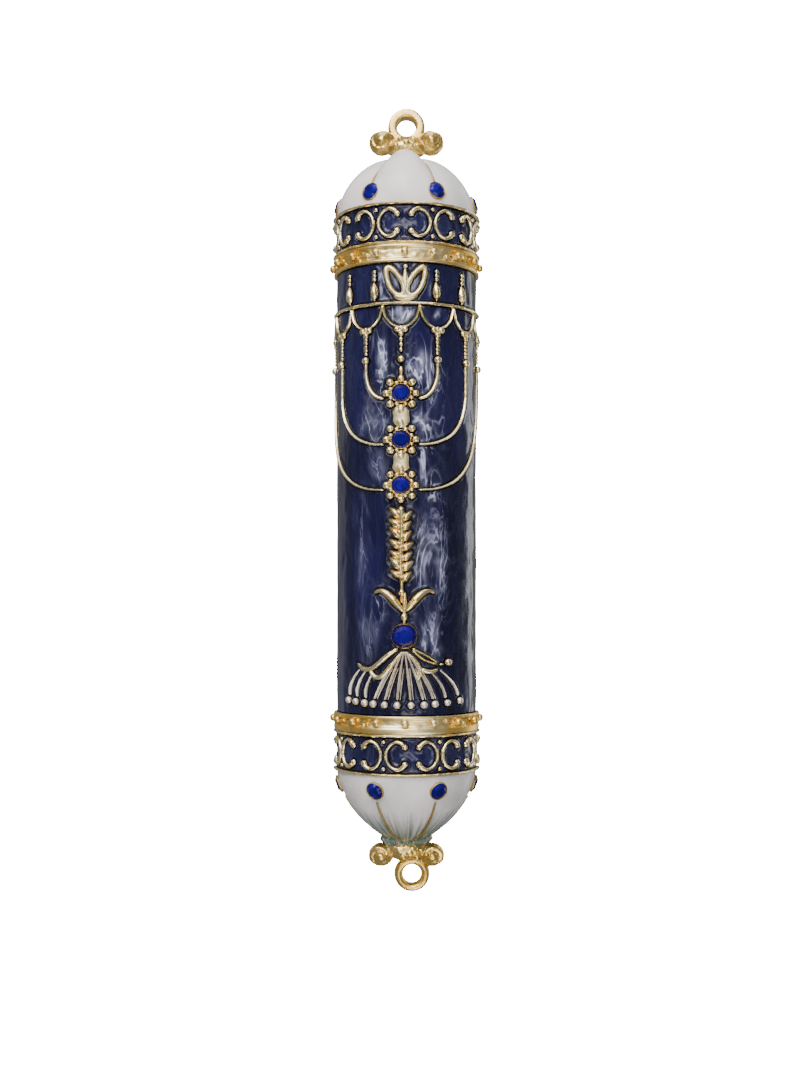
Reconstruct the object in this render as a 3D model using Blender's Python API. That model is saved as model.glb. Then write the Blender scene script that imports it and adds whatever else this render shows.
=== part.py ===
"""Mezuzah case: a half-round enamelled tube between two domed ends, trimmed with
gold filigree and blue stones, with a lift-off back cover and a rolled parchment
inside. Metres, +Z up. The back is flat in the plane Y = 0, the front faces -Y,
and the origin is the centre of the back at mid-length.
"""
import bpy
import bmesh
from math import cos, sin, pi, radians, sqrt, ceil, asin, atan2
from mathutils import Matrix, Vector

mm = 0.001

# Overall sizes
case_length = 128.0 * mm         # over both hanging lugs
tube_radius = 11.4 * mm          # outside of the enamelled tube
axis_setback = 1.5 * mm          # tube axis in front of the flat back
wall = 1.2 * mm                  # metal and enamel together

# Lengths along the case, from each end to the tube
top_lug_height = 7.8 * mm        # over the dome's pole
bottom_lug_height = 8.2 * mm
top_dome_height = 10.5 * mm
bottom_dome_height = 12.0 * mm
top_dome_fullness = 2.0          # 2 is an ellipse, less is nearer a cone
bottom_dome_fullness = 1.6
band_height = 6.5 * mm
collar_height = 3.0 * mm
collar_rise = 0.4 * mm           # how far a collar stands proud of the tube

# Clearances
seam = 0.1 * mm                  # between neighbouring soldered pieces
stone_seat = 0.1 * mm            # between a stone and its setting
cover_clearance = 0.15 * mm      # all round the back cover
scroll_clearance = 0.3 * mm      # between the cover and the rolled parchment

# Back plate, its window and the cover
plate_thickness = 1.3 * mm
window_margin = 0.7 * mm         # each side of the parchment
rebate_width = 0.8 * mm          # ledge that carries the cover's flange
rebate_depth = 0.6 * mm
plug_length = 1.9 * mm           # how far the cover reaches in from the back
grip_radius = 2.2 * mm           # finger notch at the cover's lower edge

# Rolled parchment
parchment_room = 1.1 * mm        # free space in front of the roll
parchment_gap = 3.0 * mm         # above and below it, to the window's ends
parchment_core = 1.5 * mm
parchment_sheet = 0.35 * mm
parchment_pitch = 0.8 * mm       # from one turn to the next
window_foot_room = 1.8 * mm      # from the tube's foot up to the window
window_head_room = 2.7 * mm      # from the window up to the tube's top

# Hanging lugs
lug_ring_radius = 2.86 * mm
lug_hole_radius = 1.65 * mm
lug_depth = 2.4 * mm
lug_ball_radius = 1.9 * mm
lug_ball_spread = 3.95 * mm      # centre line to ball
lug_ball_rise = 2.15 * mm        # over the dome's pole
lug_bevel = 0.4 * mm
lug_foot_radius = 3.4 * mm
lug_foot_height = 1.4 * mm
bottom_ring_shift = -0.9 * mm    # before the lug is turned over

# Gold work
wire_width = 0.6 * mm
wire_height = 0.5 * mm
line_width = 0.8 * mm
bead_radius = 0.6 * mm
small_bead_radius = 0.36 * mm
trim_margin = 1.2 * mm           # between the ends of the trim and the tube's cut edge
collar_edge = 0.35 * mm          # flat rim of a collar
collar_bead_radius = 0.55 * mm
scroll_half_width = 1.65 * mm
scroll_end = (1.15 * mm, 0.65 * mm)                      # length and height of its bulb
pattern_step = radians(22.5)     # of the scrolls and the collar beads
scallop_step = radians(29)
scallop_drop = 3.6 * mm
frieze_height = 6.3 * mm         # from the top of the tube to the ring line
branch_drop = 9.5 * mm           # from the ring line to the tips of the lamp
pattern_shift = -0.9 * mm        # the lamp and the scallops sit slightly left
frieze_shift = -0.2 * mm
drop_step = radians(25)
drop_size = (2.5 * mm, 1.5 * mm, 0.7 * mm)               # length, width, height
drop_rise = 2.1 * mm             # middle of a drop above the ring line
palmette_leaf = (4.6 * mm, 0.95 * mm)                    # length and half width
palmette_stroke = 0.55 * mm
palmette_lean = radians(24)
palmette_foot = 1.6 * mm         # half width
chain_pitch = 0.64 * mm
arm_drops = (3.6 * mm, 7.0 * mm, 20.0 * mm)              # height of each arm's bend
palmette_room = 4.97 * mm        # to the first drop, for which the palmette is drawn
base_shift = -0.4 * mm           # wing leaf, base stone and fan
rosette_drops = (14.05 * mm, 21.24 * mm, 28.34 * mm)     # below the ring line
rosette_beads = 8
rosette_pitch_radius = 2.42 * mm
stone_radius = 1.3 * mm
stone_height = 1.0 * mm
dome_stone_radius = 1.2 * mm
dome_stone_share = 0.174         # height of the stones, as a share of the dome's
base_stone_radius = 1.6 * mm
base_stone_height = 12.4 * mm    # above the foot of the tube
setting_wall = 0.45 * mm
stem_width = 2.4 * mm
stem_height = 0.45 * mm
fan_ribs = 11
fan_foot_height = 2.1 * mm       # above the foot of the tube
wing_rise = 4.5 * mm             # from the base stone to the root of the wing leaf
spine_gap = 1.75 * mm            # from the spine to the root of the wing leaf
leaf_pitch = 1.75 * mm
leaf_size = (2.3 * mm, 1.3 * mm, 0.7 * mm)
leaf_reach = 1.05 * mm           # from the rib to the middle of a leaf
leaf_lean = radians(-38)
rib_width = 0.8 * mm
rib_height = 0.6 * mm
wing_reach = 4.9 * mm
wing_height = 2.3 * mm
wing_width = 1.5 * mm
fan_margin = 0.4 * mm            # from the fan's side to the tube's side
fan_drop = 2.5 * mm              # from the base stone to the fan's apex
fan_ridge = 0.75 * mm
fan_valley = 0.35 * mm
ribbon_start = 2.1 * mm          # from the base stone's middle
ribbon_reach = 5.9 * mm
ribbon_width = 0.9 * mm
ribbon_bead_radius = 0.65 * mm
dome_stone_angles = (-87, -31, 25, 80)
base_dome_stone_angles = (-84, -27, 27, 84)

# Worked out from the sizes above
bore_radius = tube_radius - wall
axis_y = -axis_setback
collar_radius = tube_radius + collar_rise
top_pole_z = case_length / 2 - top_lug_height
top_dome_z = top_pole_z - top_dome_height
top_band_z = top_dome_z - band_height
tube_top_z = top_band_z - collar_height
bottom_pole_z = bottom_lug_height - case_length / 2
bottom_dome_z = bottom_pole_z + bottom_dome_height
bottom_band_z = bottom_dome_z + band_height
tube_bottom_z = bottom_band_z + collar_height
window_bottom_z = tube_bottom_z + window_foot_room
window_top_z = tube_top_z - window_head_room
chamber_depth = bore_radius + axis_setback - plug_length - scroll_clearance
parchment_radius = (chamber_depth - parchment_room) / 2
parchment_length = window_top_z - window_bottom_z - 2 * parchment_gap
window_width = 2 * (parchment_radius + window_margin)
ring_line_z = tube_top_z - frieze_height
branch_top_z = ring_line_z - branch_drop
rosette_heights = [ring_line_z - drop for drop in rosette_drops]
base_stone_z = tube_bottom_z + base_stone_height
wing_root_z = base_stone_z + wing_rise
fan_apex_z = base_stone_z - fan_drop
fan_foot_z = tube_bottom_z + fan_foot_height
fan_half_width = tube_radius - fan_margin
edge_angle = pi / 2 + asin(axis_setback / tube_radius)
trim_angle = edge_angle - trim_margin / tube_radius
arc_step = radians(9)
rosette_radius = rosette_pitch_radius + bead_radius


def clear_scene():
    for obj in list(bpy.data.objects):
        bpy.data.objects.remove(obj, do_unlink=True)


def material(name, colour, metallic, roughness):
    made = bpy.data.materials.new(name)
    made.use_nodes = True
    shader = made.node_tree.nodes["Principled BSDF"]
    shader.inputs["Base Color"].default_value = (*colour, 1)
    shader.inputs["Metallic"].default_value = metallic
    shader.inputs["Roughness"].default_value = roughness
    made.diffuse_color = (*colour, 1)
    return made


def add_object(name, mesh, look=None, parent=None):
    obj = bpy.data.objects.new(name, mesh)
    bpy.context.collection.objects.link(obj)
    if look and not mesh.materials:
        mesh.materials.append(look)
    obj.parent = parent
    return obj


def smooth(mesh, angle=35):
    mesh.shade_smooth()
    mesh.set_sharp_from_angle(angle=radians(angle))
    return mesh


def finished(shape, name):
    """The bmesh as a mesh, with its faces pointing out."""
    bmesh.ops.recalc_face_normals(shape, faces=shape.faces)
    mesh = bpy.data.meshes.new(name)
    shape.to_mesh(mesh)
    shape.free()
    return mesh


# ---- Solids ----

def box_mesh(low, high, name="box"):
    shape = bmesh.new()
    bmesh.ops.create_cube(shape, size=1)
    size = Vector(high) - Vector(low)
    centre = (Vector(high) + Vector(low)) / 2
    for vert in shape.verts:
        vert.co = centre + Vector(a * b for a, b in zip(vert.co, size))
    return finished(shape, name)


def turned_mesh(profile, name, steps=48, closed=True):
    """Turns a profile of (radius, z) points about Z. A closed profile is a ring's
    section; an open one starts and ends on the axis."""
    shape = bmesh.new()
    points = [shape.verts.new((radius, 0, z)) for radius, z in profile]
    pairs = list(zip(points, points[1:]))
    if closed:
        pairs.append((points[-1], points[0]))
    lines = [shape.edges.new(pair) for pair in pairs]
    bmesh.ops.spin(shape, geom=points + lines, axis=(0, 0, 1), cent=(0, 0, 0),
                   steps=steps, angle=2 * pi, use_merge=True)
    bmesh.ops.remove_doubles(shape, verts=shape.verts, dist=1e-6)
    return finished(shape, name)


def ball_mesh(centre, radius, name="ball", sides=10):
    shape = bmesh.new()
    bmesh.ops.create_uvsphere(shape, u_segments=sides, v_segments=sides // 2,
                              radius=radius)
    bmesh.ops.translate(shape, verts=shape.verts, vec=centre)
    return finished(shape, name)


def joined(meshes, name):
    """Several meshes as one, each still its own shell."""
    shape = bmesh.new()
    for mesh in meshes:
        shape.from_mesh(mesh)
    result = bpy.data.meshes.new(name)
    shape.to_mesh(result)
    shape.free()
    return result


def boolean(mesh, other, operation, name):
    """Applies one exact Boolean and gives the mesh that it leaves."""
    body = bpy.data.objects.new("body", mesh)
    tool = bpy.data.objects.new("tool", other)
    for obj in (body, tool):
        bpy.context.collection.objects.link(obj)
    modifier = body.modifiers.new("cut", "BOOLEAN")
    modifier.operation = operation
    modifier.object = tool
    modifier.use_self = True
    graph = bpy.context.evaluated_depsgraph_get()
    result = bpy.data.meshes.new_from_object(body.evaluated_get(graph))
    result.name = name
    for obj in (body, tool):
        bpy.data.objects.remove(obj)
    return result


def fused(meshes, name):
    """The union of overlapping meshes, as one body."""
    return boolean(meshes[0], joined(meshes[1:], "rest"), "UNION", name)


def moved(mesh, offset):
    mesh.transform(Matrix.Translation(offset))
    return mesh


def behind_back(depth=0.0):
    """Everything behind the plane Y = depth, to cut a part flat."""
    reach = case_length
    return box_mesh((-reach, depth, -reach), (reach, reach, reach))


# ---- Relief, drawn flat and then wrapped round the tube ----
# A flat point is (along the curve, -height, z), height being counted off the tube.

def wrapped(mesh, radius=tube_radius):
    for vert in mesh.vertices:
        angle = vert.co.x / radius
        reach = radius - vert.co.y
        vert.co = Vector((reach * sin(angle), axis_y - reach * cos(angle), vert.co.z))
    return mesh


def strip(path, width=wire_width, height=wire_height, taper=None, crest=0.0, closed=False):
    """A low wire along flat (u, z) points, with a ridge or, given a crest, a flat
    top of that share of its width. Taper gives a share of the width and height for
    each place from 0 to 1 along the path."""
    shape = bmesh.new()
    count = len(path)
    outline = [(-1, 0), (1, 0), (crest, 1), (-crest, 1)] if crest else [(-1, 0), (1, 0), (0, 1)]
    sides = len(outline)
    sections = []
    for i, (u, z) in enumerate(path):
        before = path[i - 1] if i or closed else path[0]
        after = path[(i + 1) % count] if i + 1 < count or closed else path[-1]
        along = Vector((after[0] - before[0], after[1] - before[1])).normalized()
        side = Vector((along.y, -along.x))
        share = taper(i / (count - 1)) if taper else 1
        half = width / 2 * share
        rise = height * (0.4 + 0.6 * share)
        section = []
        for across, up in outline:
            place = (u + side.x * half * across, -(seam + rise * up),
                     z + side.y * half * across)
            section.append(shape.verts.new(place))
        sections.append(section)
    last = count if closed else count - 1
    for i in range(last):
        one, two = sections[i], sections[(i + 1) % count]
        for j in range(sides):
            k = (j + 1) % sides
            shape.faces.new((one[j], one[k], two[k], two[j]))
    if not closed:
        shape.faces.new(sections[0])
        shape.faces.new(sections[-1])
    return finished(shape, "strip")


def boss(u, z, length, width=None, height=None, angle=0.0, sides=6, base=seam):
    """A low dome with an oval foot, at a flat point. Length runs along Z before
    the dome is turned by the angle."""
    width = width or length
    height = height or width * 0.6
    shape = bmesh.new()
    rings = []
    for share, up in ((1.0, 0.0), (0.78, 0.62)):
        ring = []
        for i in range(sides):
            turn = 2 * pi * (i + 0.5) / sides
            across = width / 2 * share * cos(turn)
            along = length / 2 * share * sin(turn)
            place = (u + across * cos(angle) - along * sin(angle), -(base + height * up),
                     z + across * sin(angle) + along * cos(angle))
            ring.append(shape.verts.new(place))
        rings.append(ring)
    tip = shape.verts.new((u, -(base + height), z))
    shape.faces.new(rings[0])
    for i in range(sides):
        k = (i + 1) % sides
        shape.faces.new((rings[0][i], rings[0][k], rings[1][k], rings[1][i]))
        shape.faces.new((rings[1][i], rings[1][k], tip))
    return finished(shape, "boss")


def bead(u, z, radius=bead_radius, base=seam):
    return boss(u, z, 2 * radius, height=radius * 1.2, base=base)


def arc_points(start, stop, step):
    """Evenly spaced values, both ends included."""
    count = max(1, ceil(abs(stop - start) / step))
    return [start + (stop - start) * i / count for i in range(count + 1)]


def ring_line(z, width=line_width, height=wire_height):
    angles = arc_points(-trim_angle, trim_angle, arc_step)
    return strip([(a * tube_radius, z) for a in angles], width, height)


def on_surface(obj, u, z):
    """Places an object that is modelled facing -Y onto the curved front."""
    angle = u / tube_radius
    reach = tube_radius + seam
    obj.location = (reach * sin(angle), axis_y - reach * cos(angle), z)
    obj.rotation_euler = (0, 0, angle)


# ---- Shell ----

def shell_ring(name, low, high, radius, look, parent):
    """One half-round length of the case's wall, flat across its open back."""
    section = [(bore_radius, high), (radius, high), (radius, low), (bore_radius, low)]
    ring = moved(turned_mesh(section, name), (0, axis_y, 0))
    mesh = boolean(ring, behind_back(), "DIFFERENCE", name)
    return add_object(name, smooth(mesh), look, parent)


def dome_outline(radius, height, fullness, turn):
    """A point of a dome's outline, as (radius, z), from its foot at turn 0 to its
    pole at a quarter turn."""
    return (radius * cos(turn) ** (2 / fullness), height * sin(turn) ** (2 / fullness))


def dome_mesh(name, height, fullness, steps=6):
    """A hollow domed end, standing on Z = 0 and pointing up."""
    outer = []
    inner = []
    for i in range(steps):
        turn = pi / 2 * i / steps
        outer.append(dome_outline(tube_radius, height, fullness, turn))
        inner.append(dome_outline(bore_radius, height - wall, fullness, turn))
    outer.append((0, height))
    inner.append((0, height - wall))
    section = list(reversed(inner)) + outer
    ring = moved(turned_mesh(section, name, 40, closed=False), (0, axis_y, 0))
    return boolean(ring, behind_back(), "DIFFERENCE", name)


def dome(name, base_z, height, fullness, up, look, parent):
    obj = add_object(name, smooth(dome_mesh(name, height, fullness)), look, parent)
    obj.location.z = base_z + up * seam
    if up < 0:
        # Turned over about the axis that faces the viewer, so the back stays flat.
        obj.rotation_euler.y = pi
    return obj


def collar(name, low, look, parent):
    """A raised ring between tube and band, with a bead on every pattern step."""
    high = low + collar_height
    low, high = low + seam, high - seam
    middle = (low + high) / 2
    section = [(bore_radius, high), (collar_radius - 0.2 * mm, high),
               (collar_radius, high - collar_edge), (tube_radius, high - 2 * collar_edge),
               (tube_radius, low + 2 * collar_edge), (collar_radius, low + collar_edge),
               (collar_radius - 0.2 * mm, low), (bore_radius, low)]
    ring = moved(turned_mesh(section, name), (0, axis_y, 0))
    beads = []
    for i in range(-4, 5):
        beads.append(wrapped(bead(i * pattern_step * tube_radius, middle, collar_bead_radius,
                                  -0.15 * mm)))
    mesh = fused([ring] + beads, name)
    mesh = boolean(mesh, behind_back(), "DIFFERENCE", name)
    return add_object(name, smooth(mesh), look, parent)


def shell(looks, case):
    shell_ring("tube_shell", tube_bottom_z + seam, tube_top_z - seam, tube_radius, looks["navy"], case)
    shell_ring("top_scroll_band", top_band_z + seam, top_dome_z - seam, tube_radius,
               looks["navy"], case)
    shell_ring("bottom_scroll_band", bottom_dome_z + seam, bottom_band_z - seam, tube_radius,
               looks["navy"], case)
    collar("top_collar", tube_top_z, looks["gold"], case)
    collar("bottom_collar", bottom_band_z, looks["gold"], case)
    dome("top_dome", top_dome_z, top_dome_height, top_dome_fullness, 1, looks["white"], case)
    dome("bottom_dome", bottom_dome_z, bottom_dome_height, bottom_dome_fullness, -1,
         looks["white"], case)


# ---- Back ----

def plate_outline():
    """The inside edge of the shell in the plane of the back, less the seam."""
    def half_width(radius):
        return sqrt(max(radius ** 2 - axis_setback ** 2, 0)) - seam

    turns = arc_points(0, radians(70), radians(8.75))
    right = []
    for turn in reversed(turns):
        radius, z = dome_outline(bore_radius, top_dome_height - wall, top_dome_fullness, turn)
        right.append((half_width(radius), top_dome_z + z - seam))
    for turn in turns:
        radius, z = dome_outline(bore_radius, bottom_dome_height - wall, bottom_dome_fullness,
                                 turn)
        right.append((half_width(radius), bottom_dome_z - z + seam))
    return right + [(-x, z) for x, z in reversed(right)]


def extruded(outline, front, back, name):
    """A flat outline of (x, z) points, made solid between two values of Y."""
    shape = bmesh.new()
    face = shape.faces.new([shape.verts.new((x, front, z)) for x, z in outline])
    result = bmesh.ops.extrude_face_region(shape, geom=[face])
    for item in result["geom"]:
        if isinstance(item, bmesh.types.BMVert):
            item.co.y = back
    return finished(shape, name)


def back_plate(look, parent):
    plate = extruded(plate_outline(), -plate_thickness, 0, "back_plate")
    half = window_width / 2
    opening = box_mesh((-half, -1, window_bottom_z), (half, 1, window_top_z))
    rebate = box_mesh((-half - rebate_width, -rebate_depth, window_bottom_z - rebate_width),
                      (half + rebate_width, 1, window_top_z + rebate_width))
    plate = boolean(plate, opening, "DIFFERENCE", "back_plate")
    plate = boolean(plate, rebate, "DIFFERENCE", "back_plate")
    return add_object("back_plate", plate, look, parent)


def back_cover(look, parent):
    """A flange that lies in the rebate, and a plug that fills the window."""
    half = window_width / 2
    low, high = window_bottom_z, window_top_z
    gap, ledge = cover_clearance, rebate_width - cover_clearance
    flange = box_mesh((-half - ledge, -rebate_depth + seam, low - ledge),
                      (half + ledge, 0, high + ledge))
    plug = box_mesh((-half + gap, -plug_length, low + gap), (half - gap, -0.3 * mm, high - gap))
    cover = fused([flange, plug], "back_cover")
    notch = turned_mesh([(0, 0.35 * mm), (grip_radius, 0.35 * mm), (grip_radius, -0.35 * mm),
                         (0, -0.35 * mm)], "notch", 24, closed=False)
    notch.transform(Matrix.Translation((0, 0, low - ledge)) @ Matrix.Rotation(pi / 2, 4, "X"))
    cover = boolean(cover, notch, "DIFFERENCE", "back_cover")
    return add_object("back_cover", cover, look, parent)


def parchment_scroll(look, parent):
    """A sheet rolled into a spiral, standing upright in the chamber."""
    turns = (parchment_radius - parchment_sheet - parchment_core) / parchment_pitch
    steps = ceil(turns * 16)
    inside = []
    outside = []
    for i in range(steps + 1):
        turn = 2 * pi * turns * i / steps
        radius = parchment_core + parchment_pitch * turn / (2 * pi)
        inside.append((radius * cos(turn), radius * sin(turn)))
        radius += parchment_sheet
        outside.append((radius * cos(turn), radius * sin(turn)))
    shape = bmesh.new()
    rows = []
    for z in (-parchment_length / 2, parchment_length / 2):
        rows.append([[shape.verts.new((x, y, z)) for x, y in line] for line in (inside, outside)])
    (low_in, low_out), (high_in, high_out) = rows
    for i in range(steps):
        shape.faces.new((low_in[i], low_in[i + 1], high_in[i + 1], high_in[i]))
        shape.faces.new((low_out[i], low_out[i + 1], high_out[i + 1], high_out[i]))
        shape.faces.new((low_in[i], low_in[i + 1], low_out[i + 1], low_out[i]))
        shape.faces.new((high_in[i], high_in[i + 1], high_out[i + 1], high_out[i]))
    for i in (0, steps):
        shape.faces.new((low_in[i], low_out[i], high_out[i], high_in[i]))
    obj = add_object("parchment_scroll", smooth(finished(shape, "parchment_scroll")), look, parent)
    obj.location.y = -(plug_length + scroll_clearance + parchment_radius)
    obj.location.z = (window_bottom_z + window_top_z) / 2
    return obj


# ---- Lugs ----

def lug(name, up, ring_x, look, parent):
    """A pierced ring between two balls, on a foot that stands over the dome's pole.
    Modelled pointing up, with the pole at Z = 0."""
    pole = top_pole_z if up > 0 else -bottom_pole_z
    ring_z = case_length / 2 - pole - lug_ring_radius
    half = lug_depth / 2
    section = [(lug_hole_radius, half - lug_bevel), (lug_hole_radius + lug_bevel, half),
               (lug_ring_radius - lug_bevel, half), (lug_ring_radius, half - lug_bevel),
               (lug_ring_radius, -half), (lug_hole_radius, -half)]
    ring = turned_mesh(section, "ring", 20)
    ring.transform(Matrix.Translation((ring_x, -half, ring_z)) @ Matrix.Rotation(pi / 2, 4, "X"))
    foot = turned_mesh([(0, lug_foot_height), (0.65 * lug_foot_radius, 0.93 * lug_foot_height),
                        (lug_foot_radius, 0.57 * lug_foot_height), (lug_foot_radius, 2 * seam),
                        (0, 2 * seam)], "foot", 20, closed=False)
    foot = moved(foot, (0, axis_y, 0))
    pieces = [ring, foot]
    for side in (-1, 1):
        pieces.append(ball_mesh((side * lug_ball_spread, axis_y, lug_ball_rise), lug_ball_radius))
    # A short bar runs behind the balls and joins them to the foot.
    pieces.append(box_mesh((-lug_ball_spread, -lug_depth * 0.75, 1.1 * mm),
                           (lug_ball_spread, -0.3 * mm, 2.6 * mm)))
    pieces.append(ball_mesh((ring_x / 2, -lug_depth * 0.9, 2.0 * mm), 1.0 * mm))
    mesh = fused(pieces, name)
    mesh = boolean(mesh, behind_back(), "DIFFERENCE", name)
    if up < 0:
        mesh.transform(Matrix.Rotation(pi, 4, "Y"))
    obj = add_object(name, smooth(mesh), look, parent)
    obj.location.z = top_pole_z if up > 0 else bottom_pole_z
    return obj


# ---- Stones and settings ----

def stone_mesh(radius, height):
    """A flat-backed faceted stone, facing -Y."""
    shape = bmesh.new()
    rings = []
    for share, up, offset in ((0.92, 0.0, 0), (1.0, 0.35, 0), (0.55, 1.0, 0.5)):
        ring = []
        for i in range(10):
            turn = 2 * pi * (i + offset) / 10
            ring.append(shape.verts.new((radius * share * cos(turn), -height * up,
                                         radius * share * sin(turn))))
        rings.append(ring)
    shape.faces.new(rings[0])
    shape.faces.new(rings[2])
    for i in range(10):
        k = (i + 1) % 10
        shape.faces.new((rings[0][i], rings[0][k], rings[1][k], rings[1][i]))
        shape.faces.new((rings[1][i], rings[1][k], rings[2][i]))
        shape.faces.new((rings[1][k], rings[2][k], rings[2][i]))
    return finished(shape, "stone")


def setting_mesh(radius, height, sides=16, floor=0.0, outer=None):
    """The thin gold ring round a stone, facing -Y."""
    inner = radius + stone_seat
    outer = outer or inner + setting_wall
    section = [(inner, height * 0.8), (outer - 0.15 * mm, height), (outer, floor), (inner, floor)]
    ring = turned_mesh(section, "setting", sides)
    ring.transform(Matrix.Rotation(pi / 2, 4, "X"))
    return ring


def rosette_mesh():
    """A setting with a ring of beads round it."""
    shared = 0.6 * bead_radius      # how far the beads sink into the setting
    pieces = [setting_mesh(stone_radius, 0.6 * mm, floor=-0.2 * mm,
                           outer=rosette_pitch_radius - bead_radius + shared)]
    for i in range(rosette_beads):
        turn = 2 * pi * i / rosette_beads
        pieces.append(ball_mesh((rosette_pitch_radius * cos(turn), -0.45 * mm,
                                 rosette_pitch_radius * sin(turn)), bead_radius, sides=6))
    mesh = fused(pieces, "rosette")
    # The back is hollowed to the curve of the tube that it lies on.
    tube = turned_mesh([(0, 10 * mm), (tube_radius, 10 * mm), (tube_radius, -10 * mm),
                        (0, -10 * mm)], "tube", 96, closed=False)
    tube = moved(tube, (0, tube_radius, 0))
    return boolean(mesh, tube, "DIFFERENCE", "rosette")


def rosettes(looks, case):
    mesh = smooth(rosette_mesh())
    stone = stone_mesh(stone_radius, stone_height)
    for i, z in enumerate(rosette_heights):
        on_surface(add_object(f"rosette_{i + 1}", mesh, looks["gold"], case), pattern_shift, z)
        on_surface(add_object(f"rosette_stone_{i + 1}", stone, looks["stone"], case),
                   pattern_shift, z)


def base_stone(looks, case):
    setting = setting_mesh(base_stone_radius, 0.7 * mm, 20, floor=-0.2 * mm)
    tube = turned_mesh([(0, 10 * mm), (tube_radius, 10 * mm), (tube_radius, -10 * mm),
                        (0, -10 * mm)], "tube", 96, closed=False)
    setting = boolean(setting, moved(tube, (0, tube_radius, 0)), "DIFFERENCE", "base_setting")
    on_surface(add_object("base_setting", smooth(setting), looks["gold"], case),
               base_shift, base_stone_z)
    on_surface(add_object("base_stone", stone_mesh(base_stone_radius, stone_height),
                          looks["stone"], case), base_shift, base_stone_z)


def dome_point(height, fullness, turn, lift):
    """A point above the dome's outline, as (radius, z from the dome's base, lean)."""
    radius, z = dome_outline(tube_radius, height, fullness, turn)
    steep = 2 - 2 / fullness
    slope = Vector((cos(turn) ** steep / tube_radius, sin(turn) ** steep / height)).normalized()
    return (radius + slope.x * lift, z + slope.y * lift, atan2(slope.y, slope.x))


def dome_wire(height, fullness, angle, start, stop):
    """A wire up the dome along one meridian, from a stone to the pole's ring."""
    shape = bmesh.new()
    sections = []
    for turn in arc_points(start, stop, radians(11)):
        section = []
        for across, lift in ((-1, seam), (1, seam), (0.5, seam + wire_height * 0.8),
                             (-0.5, seam + wire_height * 0.8)):
            radius, z, _ = dome_point(height, fullness, turn, lift)
            offset = across * wire_width * 0.4
            section.append(shape.verts.new((offset * cos(angle) + radius * sin(angle),
                                            axis_y + offset * sin(angle) - radius * cos(angle), z)))
        sections.append(section)
    for one, two in zip(sections, sections[1:]):
        for j in range(4):
            k = (j + 1) % 4
            shape.faces.new((one[j], one[k], two[k], two[j]))
    shape.faces.new(sections[0])
    shape.faces.new(sections[-1])
    return finished(shape, "dome_wire")


def dome_trim(name, height, fullness, base_z, up, angles, looks, case):
    """Settings round the foot of a dome, with wires that meet in a ring near its
    pole, and the stones in the settings."""
    stone_turn = asin(dome_stone_share ** (fullness / 2))
    wire_stop = radians(66)
    pieces = []
    radius, z, lean = dome_point(height, fullness, wire_stop, seam)
    ring = turned_mesh([(radius + 0.1 * mm, z), (radius + 0.25 * mm, z + 0.35 * mm),
                        (radius - 0.5 * mm, z + 0.65 * mm), (radius - 0.5 * mm, z + 0.28 * mm)],
                       "pole_ring", 24)
    pieces.append(moved(ring, (0, axis_y, 0)))
    stone = stone_mesh(dome_stone_radius, stone_height * 0.85)
    for i, degrees in enumerate(angles):
        angle = radians(degrees) * up
        radius, z, lean = dome_point(height, fullness, stone_turn, seam * 3)
        place = Matrix.Translation((radius * sin(angle), axis_y - radius * cos(angle), z))
        place = place @ Matrix.Rotation(angle, 4, "Z") @ Matrix.Rotation(-lean, 4, "X")
        setting = setting_mesh(dome_stone_radius, 0.45 * mm, 14)
        setting.transform(place)
        pieces.append(setting)
        first = stone_turn + (dome_stone_radius + stone_seat + 0.1 * mm) / height
        pieces.append(dome_wire(height, fullness, angle, first, wire_stop))
        gem = add_object(f"{name}_stone_{i + 1}", stone, looks["stone"], case)
        turn_over = Matrix.Rotation(pi, 4, "Y") if up < 0 else Matrix.Identity(4)
        lift = Matrix.Translation((0, 0, base_z + up * seam))
        gem.matrix_world = lift @ turn_over @ place
    mesh = fused(pieces, name)
    mesh = boolean(mesh, behind_back(-seam), "DIFFERENCE", name)
    obj = add_object(name, smooth(mesh), looks["gold"], case)
    obj.location.z = base_z + up * seam
    if up < 0:
        obj.rotation_euler.y = pi
    return obj


# ---- Relief on the tube ----

def relief(name, pieces, looks, case):
    mesh = wrapped(fused(pieces, name) if len(pieces) > 1 else pieces[0])
    mesh.name = name
    return add_object(name, smooth(mesh, 50), looks["gold"], case)


def scroll_gallery(name, low, looks, case):
    """Two edge lines with C-shaped scrolls between them, turned to face in pairs."""
    high = low + band_height
    edge = seam + line_width / 3
    middle = (low + high) / 2
    half_height = band_height / 2 - edge - wire_width / 4
    pieces = [ring_line(low + edge, line_width * 0.6), ring_line(high - edge, line_width * 0.6)]
    for i in range(-4, 4):
        centre = (i + 0.5) * pattern_step * tube_radius
        facing = 1 if i % 2 else -1
        path = []
        for turn in arc_points(radians(50), radians(310), radians(37.5)):
            path.append((centre + facing * scroll_half_width * cos(turn),
                         middle + half_height * sin(turn)))
        pieces.append(strip(path))
        for u, z in (path[0], path[-1]):
            pieces.append(boss(u, z, scroll_end[0], height=scroll_end[1]))
    return relief(name, pieces, looks, case)


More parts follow.
